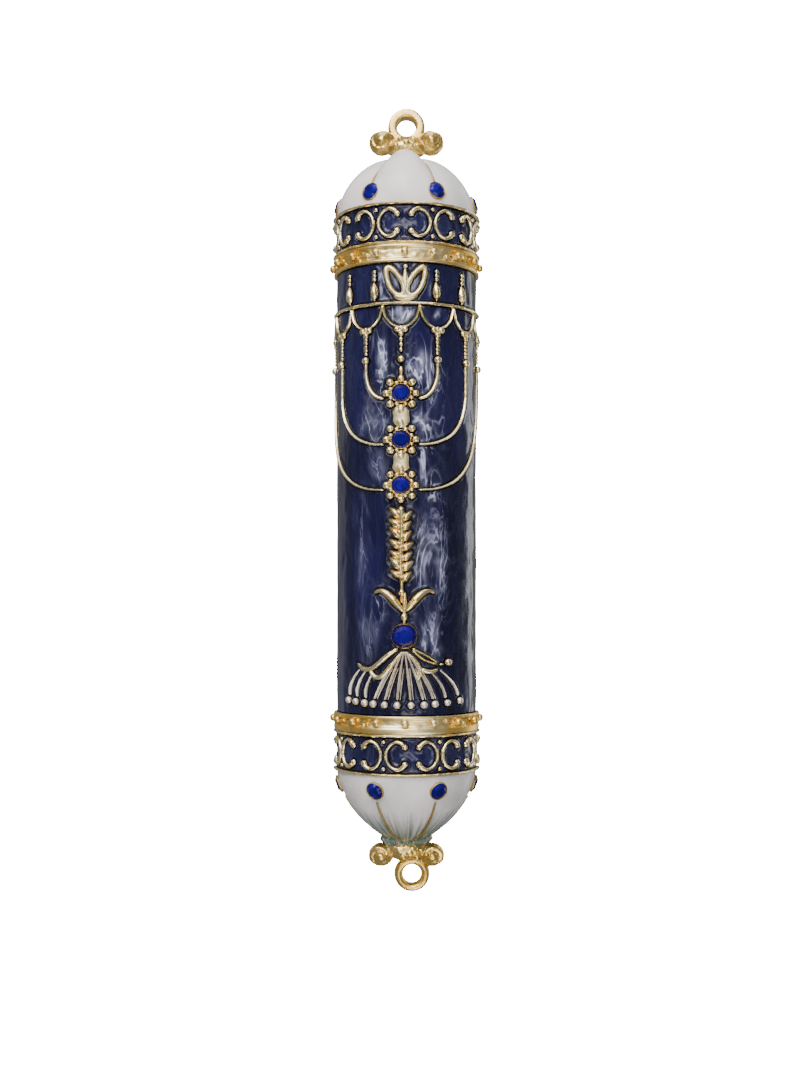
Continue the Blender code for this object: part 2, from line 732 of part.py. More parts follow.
def palmette(looks, case):
    """Three leaves on one foot: a closed middle leaf between two open ones."""
    foot_z = ring_line_z + line_width / 2 + 2 * seam
    centre = frieze_shift
    spread = drop_step * tube_radius / palmette_room
    foot_half = palmette_foot * spread
    line_z = foot_z + 0.35 * mm
    pieces = [strip([(centre - foot_half, line_z), (centre, line_z), (centre + foot_half, line_z)],
                    0.7 * mm)]
    leaf_length, leaf_half = palmette_leaf
    for side in (-1, 1):
        path = []
        lean = palmette_lean * side
        for turn in arc_points(0, 2 * pi * 11 / 12, radians(30)):
            across = leaf_half * sin(turn)
            along = leaf_length / 2 * (1 - cos(turn))
            out = side * 0.5 * mm + along * sin(lean) + across * cos(lean)
            path.append((centre + out * spread,
                         foot_z + 0.4 * mm + along * cos(lean) - across * sin(lean)))
        pieces.append(strip(path, palmette_stroke, closed=True))
    pieces.append(boss(centre, foot_z + 3.1 * mm, leaf_length, 1.0 * mm, 0.6 * mm))
    return relief("frieze_palmette", pieces, looks, case)


def frieze_drops(looks, case):
    """Pear-shaped drops with three beads above each."""
    for number, steps in enumerate((-2, -1, 1, 2)):
        u = frieze_shift + steps * drop_step * tube_radius
        drop_z = ring_line_z + drop_rise
        pieces = [boss(u, drop_z, *drop_size)]
        for i in range(3):
            pieces.append(bead(u, drop_z + 1.4 * mm + 1.85 * small_bead_radius * i,
                               small_bead_radius))
        relief(f"frieze_drop_{number + 1}", pieces, looks, case)


def scallop_trim(looks, case):
    """The ring line with seven hanging arcs."""
    pieces = [ring_line(ring_line_z)]
    for i in range(-3, 4):
        path = []
        for share in arc_points(-1, 1, 0.25):
            angle = (i + share / 2) * scallop_step + pattern_shift / tube_radius
            if abs(angle) <= trim_angle:
                path.append((angle * tube_radius,
                             ring_line_z - 0.2 * mm - scallop_drop * sqrt(1 - share ** 2)))
        pieces.append(strip(path, 0.5 * mm))
    return relief("scallop_trim", pieces, looks, case)


def bead_chain(number, looks, case):
    """Three beads under a scallop and a row of beads down to the branch's tip."""
    u = pattern_shift + number * scallop_step * tube_radius
    top = ring_line_z - scallop_drop - 1.15 * mm
    pieces = [bead(u - 0.5 * mm, top), bead(u + 0.5 * mm, top), bead(u, top - 0.85 * mm)]
    first = top - 1.7 * mm
    if number:
        name = f"bead_chain_{'left' if number < 0 else 'right'}_{abs(number)}"
        tip_z = branch_top_z + 2 * seam + bead_radius
        pieces.append(bead(u, tip_z))
        rows = ceil((first - tip_z) / chain_pitch)
    else:
        name = "bead_chain_middle"
        lowest = rosette_heights[0] + rosette_radius + 2 * seam + small_bead_radius
        rows = int((first - lowest) / chain_pitch) + 1
    for i in range(rows):
        pieces.append(bead(u, first - chain_pitch * i, small_bead_radius))
    return relief(name, pieces, looks, case)


def branch(number, side, looks, case):
    """One arm: down from its tip, then a quarter oval in to its rosette's side."""
    tip = pattern_shift + side * number * scallop_step * tube_radius
    end_z = rosette_heights[number - 1] - 0.5 * mm
    end = pattern_shift + side * (rosette_radius + 2 * seam)
    reach = tip - end
    drop = min(branch_top_z - end_z, arm_drops[number - 1])
    path = [(tip, z) for z in arc_points(branch_top_z, end_z + drop, 3 * mm)[:-1]]
    for turn in arc_points(0, pi / 2, radians(9)):
        path.append((end + reach * cos(turn), end_z + drop * (1 - sin(turn))))
    name = f"branch_{'left' if side < 0 else 'right'}_{number}"
    return relief(name, [strip(path)], looks, case)


def stem_plates(looks, case):
    """The flat bars that show between one rosette and the next."""
    for i in range(2):
        top = rosette_heights[i] - rosette_radius - 2 * seam
        low = rosette_heights[i + 1] + rosette_radius + 2 * seam
        path = [(pattern_shift, top), (pattern_shift, low)]
        plate = strip(path, stem_width, stem_height, crest=0.7)
        relief(f"stem_plate_{i + 1}", [plate], looks, case)


def leaf_spine(looks, case):
    """A rib with pairs of short leaves that point up and out."""
    top = rosette_heights[2] - rosette_radius - 2 * seam
    foot = wing_root_z + spine_gap
    rib = [(pattern_shift, z) for z in arc_points(top, foot, 2 * mm)]
    pieces = [strip(rib, rib_width, rib_height)]
    first = top - 0.95 * mm
    for i in range(int((first - foot) / leaf_pitch)):
        for side in (-1, 1):
            pieces.append(boss(pattern_shift + side * leaf_reach, first - leaf_pitch * i,
                               *leaf_size, leaf_lean * side))
    return relief("leaf_spine", pieces, looks, case)


def wing_leaf(looks, case):
    """Two upswept leaves that meet at the foot of the spine."""
    pieces = []
    for side in (-1, 1):
        path = []
        for share in arc_points(0, 1, 0.16):
            path.append((base_shift + side * (wing_reach * share - wire_width / 2),
                         wing_root_z + wing_height * share ** 1.6))
        pieces.append(strip(path, wing_width, taper=lambda share: 1 - 0.75 * share))
    return relief("wing_leaf", pieces, looks, case)


def base_fan(looks, case):
    """A fluted fan with a bead at the foot of each rib."""
    shape = bmesh.new()
    columns = 2 * fan_ribs
    rows = 7                         # close enough for each to follow the curve
    top = []
    floor = []
    for j in range(rows):
        share = 0.08 + 0.92 * j / (rows - 1)
        high_row = []
        low_row = []
        for i in range(columns + 1):
            across = 2 * i / columns - 1
            u = base_shift + fan_half_width * across * share
            z = fan_apex_z + (fan_foot_z - fan_apex_z) * share * (1 - 0.08 * across ** 2)
            rise = (fan_ridge if i % 2 else fan_valley) * (0.5 + 0.5 * share)
            high_row.append(shape.verts.new((u, -(seam + rise), z)))
            low_row.append(shape.verts.new((u, -seam, z)))
        top.append(high_row)
        floor.append(low_row)
    for grid in (top, floor):
        for one, two in zip(grid, grid[1:]):
            for i in range(columns):
                shape.faces.new((one[i], one[i + 1], two[i + 1], two[i]))
    for j in range(rows - 1):
        for i in (0, columns):
            shape.faces.new((top[j][i], top[j + 1][i], floor[j + 1][i], floor[j][i]))
    for j in (0, rows - 1):
        for i in range(columns):
            shape.faces.new((top[j][i], top[j][i + 1], floor[j][i + 1], floor[j][i]))
    pieces = [finished(shape, "fan")]
    for i in range(fan_ribs):
        across = (2 * i + 1) / fan_ribs - 1
        foot = fan_apex_z + (fan_foot_z - fan_apex_z) * (1 - 0.08 * across ** 2)
        pieces.append(bead(base_shift + fan_half_width * across, foot - bead_radius / 2))
    return relief("base_fan", pieces, looks, case)


def ribbons(looks, case):
    """A curled ribbon each side of the base stone, above the fan."""
    for side in (-1, 1):
        path = []
        for share in arc_points(0, 1, 0.1):
            path.append((base_shift + side * (ribbon_start + ribbon_reach * share),
                         base_stone_z - 2.4 * mm - 2.2 * mm * share + 0.8 * mm * sin(pi * share)))
        tip = path[-1]
        pieces = [strip(path, ribbon_width), bead(tip[0], tip[1], ribbon_bead_radius)]
        relief(f"ribbon_{'left' if side < 0 else 'right'}", pieces, looks, case)


def build():
    clear_scene()
    looks = {
        "navy": material("navy_enamel", (0.012, 0.022, 0.10), 0.0, 0.18),
        "white": material("white_enamel", (0.80, 0.76, 0.74), 0.0, 0.15),
        "gold": material("antique_gold", (0.72, 0.55, 0.30), 1.0, 0.32),
        "stone": material("blue_stone", (0.004, 0.008, 0.42), 0.0, 0.05),
        "pewter": material("pewter", (0.42, 0.41, 0.40), 1.0, 0.45),
        "parchment": material("parchment", (0.78, 0.70, 0.54), 0.0, 0.75),
    }
    case = bpy.data.objects.new("case", None)
    bpy.context.collection.objects.link(case)
    shell(looks, case)
    back_plate(looks["pewter"], case)
    back_cover(looks["pewter"], None)
    parchment_scroll(looks["parchment"], None)
    lug("top_lug", 1, 0, looks["gold"], case)
    lug("bottom_lug", -1, bottom_ring_shift, looks["gold"], case)
    scroll_gallery("top_scroll_gallery", top_band_z, looks, case)
    scroll_gallery("bottom_scroll_gallery", bottom_dome_z, looks, case)
    dome_trim("top_dome_wires", top_dome_height, top_dome_fullness, top_dome_z, 1,
              dome_stone_angles, looks, case)
    dome_trim("bottom_dome_wires", bottom_dome_height, bottom_dome_fullness, bottom_dome_z, -1,
              base_dome_stone_angles, looks, case)
    palmette(looks, case)
    frieze_drops(looks, case)
    scallop_trim(looks, case)
    for number in range(-3, 4):
        bead_chain(number, looks, case)
    rosettes(looks, case)
    stem_plates(looks, case)
    for number in (1, 2, 3):
        for side in (-1, 1):
            branch(number, side, looks, case)
    leaf_spine(looks, case)
    wing_leaf(looks, case)
    base_stone(looks, case)
    base_fan(looks, case)
    ribbons(looks, case)


build()
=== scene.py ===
from contextlib import contextmanager
from math import sin, cos, pi, radians, sqrt, atan2, exp, hypot
from random import Random

import bpy
import bmesh
import numpy as np
from mathutils import Matrix, Vector, kdtree, noise


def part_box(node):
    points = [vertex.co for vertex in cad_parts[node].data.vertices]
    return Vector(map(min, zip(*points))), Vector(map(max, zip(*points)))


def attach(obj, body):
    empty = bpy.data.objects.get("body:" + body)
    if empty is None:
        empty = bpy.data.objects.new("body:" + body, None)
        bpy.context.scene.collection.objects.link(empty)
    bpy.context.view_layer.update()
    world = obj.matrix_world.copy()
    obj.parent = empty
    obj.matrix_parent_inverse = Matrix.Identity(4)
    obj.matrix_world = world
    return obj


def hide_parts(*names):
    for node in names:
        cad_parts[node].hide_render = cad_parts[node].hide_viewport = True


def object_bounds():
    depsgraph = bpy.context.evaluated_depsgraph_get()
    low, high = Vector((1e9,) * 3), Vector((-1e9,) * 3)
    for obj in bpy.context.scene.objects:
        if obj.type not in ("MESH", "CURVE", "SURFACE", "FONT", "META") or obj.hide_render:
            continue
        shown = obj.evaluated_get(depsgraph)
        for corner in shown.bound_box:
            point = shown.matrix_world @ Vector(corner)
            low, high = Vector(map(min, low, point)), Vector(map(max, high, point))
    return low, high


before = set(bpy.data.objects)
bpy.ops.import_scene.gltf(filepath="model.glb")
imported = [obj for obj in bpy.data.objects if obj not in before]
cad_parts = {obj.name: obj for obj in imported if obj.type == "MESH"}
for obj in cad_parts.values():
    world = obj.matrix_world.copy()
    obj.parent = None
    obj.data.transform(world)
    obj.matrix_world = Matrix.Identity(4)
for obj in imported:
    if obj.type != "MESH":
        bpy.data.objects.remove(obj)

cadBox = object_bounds()

# Everything is modelled in millimetres and brought to metres when a piece is finished.
# Relief is drawn flat first: x runs along the curve, -y is height, z is up.
mm = 0.001


def boxOf(node):
    low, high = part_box(node)
    return low / mm, high / mm


tubeLow, tubeHigh = boxOf("tube_shell")
tubeRadius = tubeHigh.x
axisY = tubeLow.y + tubeRadius
wall = 1.2
edgeU = tubeRadius * (pi / 2 + atan2(-axisY, tubeRadius))   # the enamel's cut edge, along the curve


def middleOf(node):
    low, high = boxOf(node)
    return (low + high) / 2


def alongCurve(node):
    spot = middleOf(node)
    return tubeRadius * atan2(spot.x, axisY - spot.y)


# selecting, joining and finishing

def nothing():
    if bpy.context.mode != "OBJECT":
        bpy.ops.object.mode_set(mode="OBJECT")
    bpy.ops.object.select_all(action="DESELECT")


def pick(*objects):
    nothing()
    for obj in objects:
        obj.select_set(True)
    bpy.context.view_layer.objects.active = objects[0]


@contextmanager
def editing(obj):
    # edit mode, with everything selected
    pick(obj)
    bpy.ops.object.mode_set(mode="EDIT")
    bpy.ops.mesh.select_all(action="SELECT")
    yield
    bpy.ops.object.mode_set(mode="OBJECT")


def added():
    return bpy.context.view_layer.objects.active


def settle(obj):
    pick(obj)
    bpy.ops.object.transform_apply(location=True, rotation=True, scale=True)
    return obj


def modify(obj, kind, **settings):
    pick(obj)
    modifier = obj.modifiers.new(kind.lower(), kind)
    for key, value in settings.items():
        setattr(modifier, key, value)
    bpy.ops.object.modifier_apply(modifier=modifier.name)
    return obj


def joined(objects, name):
    pick(*objects)
    if len(objects) > 1:
        bpy.ops.object.join()
    obj = added()
    obj.name = obj.data.name = name
    return obj


def copyOf(model, matrix, name="copy"):
    mesh = model.data.copy()
    mesh.transform(matrix)
    if matrix.determinant() < 0:
        mesh.flip_normals()
    obj = bpy.data.objects.new(name, mesh)
    bpy.context.collection.objects.link(obj)
    return obj


def sphere(segments, rings, turn=0.0):
    nothing()
    bpy.ops.mesh.primitive_uv_sphere_add(segments=segments, ring_count=rings, radius=1,
                                         rotation=(turn, 0, 0))
    return settle(added())


def meshObject(name, points, faces):
    mesh = bpy.data.meshes.new(name)
    mesh.from_pydata(points, [], faces)
    obj = bpy.data.objects.new(name, mesh)
    bpy.context.collection.objects.link(obj)
    return obj


def ringFaces(columns, rows):
    # the faces between rings of points, each ring closed
    return [(j * columns + i, j * columns + k, (j + 1) * columns + k, (j + 1) * columns + i)
            for j in range(rows - 1) for i in range(columns) for k in [(i + 1) % columns]]


def noiseAt(x, y, z):
    return noise.noise(Vector((x, y, z)))


def cleaned(obj, gap=0.001):
    with editing(obj):
        bpy.ops.mesh.remove_doubles(threshold=gap)
        bpy.ops.mesh.normals_make_consistent(inside=False)
    return obj


def cutBack(obj):
    # nothing reaches behind the flat back of the case
    with editing(obj):
        bpy.ops.mesh.bisect(plane_co=(0, 0, 0), plane_no=(0, 1, 0), use_fill=True, clear_outer=True)
    return obj


def coordsOf(obj):
    flat = np.empty(len(obj.data.vertices) * 3)
    obj.data.vertices.foreach_get("co", flat)
    return flat.reshape(-1, 3)


def setCoords(obj, points):
    obj.data.vertices.foreach_set("co", np.asarray(points, float).ravel())
    obj.data.update()


def setField(obj, name, values):
    field = obj.data.attributes.get(name) or obj.data.attributes.new(name, "FLOAT", "POINT")
    field.data.foreach_set("value", np.asarray(values, float))


def wrapOnTube(obj):
    # the flat drawing goes round the tube, and its height is kept for the material
    points = coordsOf(obj)
    setField(obj, "lift", -points[:, 1])
    angle, reach = points[:, 0] / tubeRadius, tubeRadius - points[:, 1]
    setCoords(obj, np.stack([reach * np.sin(angle), axisY - reach * np.cos(angle),
                             points[:, 2]], 1))
    return obj


def finishPiece(obj, name, look, nodes, body="case", angle=42):
    pick(obj)
    obj.data.transform(Matrix.Scale(mm, 4))
    obj.name = obj.data.name = name
    obj.data.materials.clear()
    obj.data.materials.append(looks[look])
    bpy.ops.object.shade_smooth_by_angle(angle=radians(angle))
    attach(obj, body)
    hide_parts(*nodes)
    return obj


# materials

class Flow:
    # a socket that can be added, multiplied and so on
    def __init__(self, tree, socket=None):
        self.tree, self.socket = tree, socket

    def node(self, kind, settings=None, sockets=None, out=0):
        made = self.tree.nodes.new(kind)
        for key, value in (settings or {}).items():
            setattr(made, key, value)
        for key, value in (sockets or {}).items():
            if isinstance(value, Flow):
                self.tree.links.new(value.socket, made.inputs[key])
            else:
                made.inputs[key].default_value = value
        return Flow(self.tree, made.outputs[out])

    def maths(self, operation, *values):
        return self.node("ShaderNodeMath", {"operation": operation}, dict(enumerate(values)))

    def __add__(self, other):
        return self.maths("ADD", self, other)

    def __sub__(self, other):
        return self.maths("SUBTRACT", self, other)

    def __rsub__(self, other):
        return self.maths("SUBTRACT", other, self)

    def __mul__(self, other):
        return self.maths("MULTIPLY", self, other)

    def __pow__(self, other):
        return self.maths("POWER", self, other)

    def __abs__(self):
        return self.maths("ABSOLUTE", self)

    __radd__ = __add__
    __rmul__ = __mul__

    def held(self):
        return self.node("ShaderNodeClamp", {}, {"Value": self})

    def between(self, low, high):
        # 0 below low, 1 above high, eased between them
        return self.node("ShaderNodeMapRange", {"interpolation_type": "SMOOTHSTEP"},
                         {"Value": self, "From Min": low, "From Max": high})


def colour(red, green, blue):
    return (red, green, blue, 1)


class Look:
    # one material, with the places that its patterns are read from
    def __init__(self, name, **values):
        self.material = bpy.data.materials.new(name)
        self.material.use_nodes = True
        self.tree = self.material.node_tree
        self.shader = self.tree.nodes["Principled BSDF"]
        self.flow = Flow(self.tree)
        self.place = self.flow.node("ShaderNodeTexCoord", out="Object")
        for key, value in values.items():
            self.shader.inputs[key.replace("_", " ")].default_value = value

    def stretched(self, across, up):
        return self.flow.node("ShaderNodeMapping", {}, {
            "Vector": self.place, "Scale": (across, across, up)})

    def clouds(self, place, scale, detail=4, rough=0.55, twist=0.0):
        return self.flow.node("ShaderNodeTexNoise", {}, {
            "Vector": place, "Scale": scale, "Detail": detail, "Roughness": rough,
            "Distortion": twist})

    def axis(self, letter):
        return self.flow.node("ShaderNodeSeparateXYZ", {}, {"Vector": self.place}, out=letter)

    def field(self, name):
        return self.flow.node("ShaderNodeAttribute", {"attribute_name": name}, out="Fac")

    def under(self, mask, first, second):
        self.base = self.flow.node("ShaderNodeMix", {"data_type": "RGBA"},
                                   {0: mask, 6: first, 7: second}, out=2)

    def over(self, mask, tone):
        self.under(mask, self.base, tone)

    def feed(self, name, value):
        self.tree.links.new(value.socket, self.shader.inputs[name])

    def finish(self, rough, height, distance):
        # what has been mixed, how rough it is and the height that dents it
        self.feed("Base Color", self.base)
        self.feed("Roughness", rough)
        self.feed("Normal", self.flow.node("ShaderNodeBump", {}, {
            "Height": height, "Distance": distance, "Strength": 1.0}))
        return self.material


enamelTones = {
    "deep": colour(0.0026, 0.0022, 0.019),
    "mid": colour(0.0078, 0.0072, 0.050),
    "haze": colour(0.060, 0.062, 0.158),
    # pale pearly enamel, partly its own marbling and partly painted reflection
    "pearlAndReflection": colour(0.500, 0.520, 0.690),
    # rim: painted shade round the gold, with some of it the dark metal ground at the gold's edge
    "rim": colour(0.0015, 0.0015, 0.007),
}


def navyEnamel(name, pearlyAndReflecting=True):
    look = Look(name, Specular_IOR_Level=0.30, IOR=1.4, Coat_Weight=0.25, Coat_Roughness=0.03)
    tall = look.stretched(1, 0.14)
    loose = look.stretched(1, 0.42)
    broad = look.clouds(look.stretched(1, 0.25), 130, 3, 0.5, 0.6)
    wisps = look.clouds(tall, 520, 6, 0.62, 0.9)
    fine = look.clouds(tall, 2100, 5, 0.6, 0.3)
    curls = look.clouds(loose, 170, 2, 0.5, 1.9)
    lines = (1 - abs(curls * 2 - 1)) ** 11
    # a hair-thin light line with a soft shine along one side of it
    veins = look.clouds(look.stretched(1, 0.30), 210, 3, 0.55, 2.6)
    hairs = (1 - abs(veins - 0.5) * 26).held() ** 1.5
    shine = veins.between(0.44, 0.505) * (1 - veins.between(0.505, 0.52))
    soft = wisps.between(0.40, 0.78)
    look.under(broad.between(0.35, 0.68), enamelTones["deep"], enamelTones["mid"])
    if pearlyAndReflecting:
        # pale pearly patches: partly the enamel's own marbling, partly painted reflection; the haze and
        # bright layers below carry them
        pearlAndReflection = look.field("pearlAndReflection")
        haze = (soft * (0.10 + pearlAndReflection * 1.0) + fine.between(0.5, 0.8) * pearlAndReflection * 0.35
                + shine * (pearlAndReflection * 0.5 + 0.10)).held()
        look.over(haze, enamelTones["haze"])
        bright = (lines * pearlAndReflection * 0.40 + (pearlAndReflection - 0.45).held() * wisps.between(0.40, 0.72) * 0.85
                  + hairs * (pearlAndReflection * 1.1 - 0.10).held() + shine * (pearlAndReflection - 0.25).held() * 0.6
                  + fine.between(0.62, 0.8) * pearlAndReflection * 0.25).held()
        look.over(bright, enamelTones["pearlAndReflection"])
    else:
        look.over((soft * 0.35 + lines * 0.25).held(), enamelTones["haze"])
    # painted shade: the enamel darkens beside the gold, partly the dark metal ground at its edge
    look.over(look.field("rim"), enamelTones["rim"])
    ripple = look.clouds(look.stretched(1, 0.3), 260, 2, 0.5, 0.4)
    return look.finish((0.13 + fine * 0.12 + look.field("rim") * 0.25).held(),
                       ripple + wisps * 0.25 + fine * 0.06, 0.00016)


domeTones = {
    "white": colour(0.88, 0.80, 0.785),
    "cool": colour(0.68, 0.68, 0.65),
    "teal": colour(0.060, 0.175, 0.150),
    "smoke": colour(0.20, 0.21, 0.14),
    "creaseShade": colour(0.33, 0.29, 0.26),
}


def whiteEnamel(name, stainFrom, stainTo, stainSide=0.0):
    # stainFrom and stainTo are heights: no stain at the first, all of it at the second
    look = Look(name, Specular_IOR_Level=0.3, Coat_Weight=0.12, Coat_Roughness=0.02)
    drift = look.clouds(look.stretched(1, 0.6), 170, 3, 0.5, 0.4)
    look.under(drift.between(0.35, 0.72), domeTones["white"], domeTones["cool"])
    height = look.axis("Z")
    level = look.flow.node("ShaderNodeMapRange", {}, {
        "Value": height, "From Min": stainFrom * mm, "From Max": stainTo * mm})
    turn = look.axis("X").maths("ARCTAN2", look.axis("X"), axisY * mm - look.axis("Y"))
    round = look.flow.node("ShaderNodeCombineXYZ", {}, {"X": turn * 0.011, "Y": height * 0.10})
    streaks = look.clouds(round, 900, 4, 0.6, 0.2)
    run = (level * 1.15 + (streaks - 0.5) * 3.4 * level ** 0.6 - 0.14).held()
    if stainSide:
        run = run * (look.axis("X") * stainSide).between(0.0005, 0.003)
    look.over((run * 0.95).held(), domeTones["smoke"])
    tealish = look.clouds(round, 380, 2, 0.5).between(0.40, 0.60)
    look.over((run * tealish * 0.9).held(), domeTones["teal"])
    # painted shade in the creases between the dome's panels
    look.over((look.field("creaseShade") * 0.5).held(), domeTones["creaseShade"])
    return look.finish(0.26 + drift * 0.12, drift, 0.00012)


goldTones = {
    "pale": colour(0.90, 0.77, 0.44),
    "rich": colour(0.84, 0.56, 0.13),
    "rose": colour(0.78, 0.60, 0.46),
    "silver": colour(0.93, 0.86, 0.80),
    "dark": colour(0.080, 0.050, 0.022),
}


def goldLook(name, amber=0.35, foot=0.16, grain=0.8, rough=0.18, hasLift=True, sides=0.0, rosy=0.2,
             creased=0.0, aged=0.0, silver=0.0):
    # amber is how much of the richer tone shows, foot the height below which the gold darkens, partly
    # patina and partly painted shade where it meets the enamel
    look = Look(name, Metallic=1.0, Roughness=rough)
    cast = look.clouds(look.place, 900, 4, 0.6, 0.3)
    pits = look.clouds(look.place, 3800, 3, 0.6)
    drift = look.clouds(look.place, 210, 3, 0.5, 0.5)
    warm = (drift - 0.5 + amber).between(0.0, 0.9)
    if sides:
        outer = (abs(look.axis("X")) - 0.0035).between(0.0, 0.0045)
        warm = (warm + outer * sides).held()
    look.under(warm, goldTones["pale"], goldTones["rich"])
    look.over((cast.between(0.5, 0.75) * rosy).held(), goldTones["rose"])
    if silver:
        look.over(silver, goldTones["silver"])
    stainAndShade = cast.between(0.58, 0.82) * 0.35 + aged
    # painted shade at the wire's foot where it meets the enamel, partly patina
    if hasLift:
        stainAndShade = (stainAndShade + 1 - look.field("lift").between(0.0, foot)).held()
    if sides:
        stainAndShade = (stainAndShade + outer * cast.between(0.50, 0.66) * 0.15).held()
    if creased:
        # darkened where the casting is hollow, and on its edges turned down: painted shade in the
        # hollows, partly patina
        hollows = look.flow.node("ShaderNodeNewGeometry", out="Pointiness")
        stainAndShade = (stainAndShade + (1 - hollows.between(0.40, 0.50)) * creased).held()
    look.over(stainAndShade, goldTones["dark"])
    return look.finish((rough + pits * 0.12 + stainAndShade * 0.3).held(), cast * 0.8 + pits * 0.35,
                       0.00007 * grain)


stoneTones = {"deep": colour(0.006, 0.0, 0.10), "glow": colour(0.013, 0.0, 0.21)}


def blueStone(name):
    look = Look(name, Specular_IOR_Level=0.16, Coat_Weight=0.08, Coat_Roughness=0.02, IOR=1.45)
    flecks = look.clouds(look.place, 700, 2, 0.5, 0.3)
    look.under(flecks.between(0.38, 0.66), stoneTones["deep"], stoneTones["glow"])
    look.feed("Base Color", look.base)
    look.feed("Roughness", 0.05 + flecks * 0.07)
    return look.material


pewterTones = {
    "pale": colour(0.46, 0.445, 0.42),
    "grey": colour(0.33, 0.32, 0.305),
    "pit": colour(0.20, 0.19, 0.175),
    "scratch": colour(0.62, 0.60, 0.57),
}


def pewterLook(name, brushed):
    look = Look(name, Metallic=1.0, Roughness=0.42)
    grain = (look.clouds(look.stretched(1, 0.02), 5200, 4, 0.6) if brushed
             else look.clouds(look.place, 1300, 4, 0.6))
    patches = look.clouds(look.place, 160, 3, 0.55, 0.8)
    marks = look.clouds(look.stretched(1, 0.3), 900, 2, 0.5, 2.0)
    scratches = (1 - abs(marks * 2 - 1)) ** 40
    look.under(patches.between(0.3, 0.7), pewterTones["pale"], pewterTones["grey"])
    look.over((grain.between(0.55, 0.8) * 0.5).held(), pewterTones["pit"])
    look.over((scratches * 0.5).held(), pewterTones["scratch"])
    return look.finish((0.34 + patches * 0.2 + grain * 0.08).held(), grain - scratches * 0.4, 0.00006)


parchmentTones = {
    "pale": colour(0.72, 0.61, 0.42),
    "tan": colour(0.60, 0.48, 0.30),
    "fibre": colour(0.80, 0.72, 0.54),
    "worn": colour(0.38, 0.26, 0.13),
}


def parchmentLook(name):
    look = Look(name, Roughness=0.75)
    fibres = look.clouds(look.stretched(1, 0.25), 2600, 5, 0.6, 0.4)
    patches = look.clouds(look.place, 210, 3, 0.55, 0.5)
    look.under(patches.between(0.3, 0.7), parchmentTones["pale"], parchmentTones["tan"])
    look.over((fibres.between(0.55, 0.8) * 0.6).held(), parchmentTones["fibre"])
    ends = (abs(look.axis("Z") - 0.0005) - 0.0285).between(0.0, 0.0016)
    look.over((ends * 0.55).held(), parchmentTones["worn"])
    return look.finish(0.66 + fibres * 0.16, fibres + patches * 0.4, 0.00005)


looks = {
    "tube": navyEnamel("marbledNavyEnamel"),
    "band": navyEnamel("bandNavyEnamel", pearlyAndReflecting=False),
    "topDome": whiteEnamel("whiteEnamelTop", 53.5, 57.5, stainSide=-1.0),
    "bottomDome": whiteEnamel("whiteEnamelBottom", -49.0, -55.2),
    "wire": goldLook("paleGoldWire", 0.10, foot=0.20, grain=0.5, rosy=0.3),
    "stem": goldLook("brightGoldStem", 0.12, foot=0.10, grain=0.35, rough=0.34, rosy=0.0),
    "bead": goldLook("beadGold", 0.34, foot=0.26, grain=0.35),
    "leaf": goldLook("leafGold", 0.46, foot=0.40, grain=0.5),
    "ribGold": goldLook("fanGold", 0.0, foot=0.10, rough=0.42, rosy=0.4, silver=0.75),
    "edge": goldLook("roseGoldEdge", 0.26, foot=0.24, rosy=0.9),
    "collar": goldLook("collarGold", 0.40, foot=0.02, grain=0.7, rough=0.30, sides=0.6),
    "lug": goldLook("lugGold", 0.78, hasLift=False, grain=0.9, rough=0.20, creased=0.9, aged=0.08),
    "domeWire": goldLook("domeWireGold", 0.55, hasLift=False, rough=0.36, rosy=0.4, aged=0.50),
    "stone": blueStone("blueStone"),
    "plate": pewterLook("castPewter", False),
    "cover": pewterLook("brushedPewter", True),
    "parchment": parchmentLook("plainParchment"),
}
print("materials made:", len(looks))


# the parts that relief is built from

chance = Random(7)
noise.seed_set(7)     # the lugs' dents use vector noise
marks = []          # (along, up, half width) of whatever lies on the enamel


def smoothPath(points, closed=False, step=0.22):
    points = [Vector(p) for p in points]
    count = len(points)
    path = []
    for i in range(count if closed else count - 1):
        b, c = points[i], points[(i + 1) % count]
        a = points[i - 1] if i or closed else b * 2 - c
        d = points[(i + 2) % count] if closed or i + 2 < count else c * 2 - b
        parts = max(1, round((c - b).length / step))
        for k in range(parts):
            t = k / parts
            path.append(0.5 * (2 * b + (c - a) * t + (2 * a - 5 * b + 4 * c - d) * t * t
                               + (3 * b - a - 3 * c + d) * t ** 3))
    if not closed:
        path.append(points[-1])
    return path


def sharesAlong(shares, part):
    place = part * (len(shares) - 1)
    low = min(int(place), len(shares) - 2)
    return shares[low] + (shares[low + 1] - shares[low]) * (place - low)


def curveMesh(points, radii, closed=False, sides=3):
    # a round strand through the points, as a closed mesh
    curve = bpy.data.curves.new("strand", "CURVE")
    curve.dimensions = "3D"
    curve.bevel_depth = 1
    curve.bevel_resolution = sides
    curve.use_fill_caps = True
    line = curve.splines.new("POLY")
    line.points.add(len(points) - 1)
    for point, place, radius in zip(line.points, points, radii):
        point.co = (*place, 1)
        point.radius = radius
    line.use_cyclic_u = closed
    obj = bpy.data.objects.new("strand", curve)
    bpy.context.collection.objects.link(obj)
    pick(obj)
    bpy.ops.object.convert(target="MESH")
    return cleaned(added(), 0.0005)


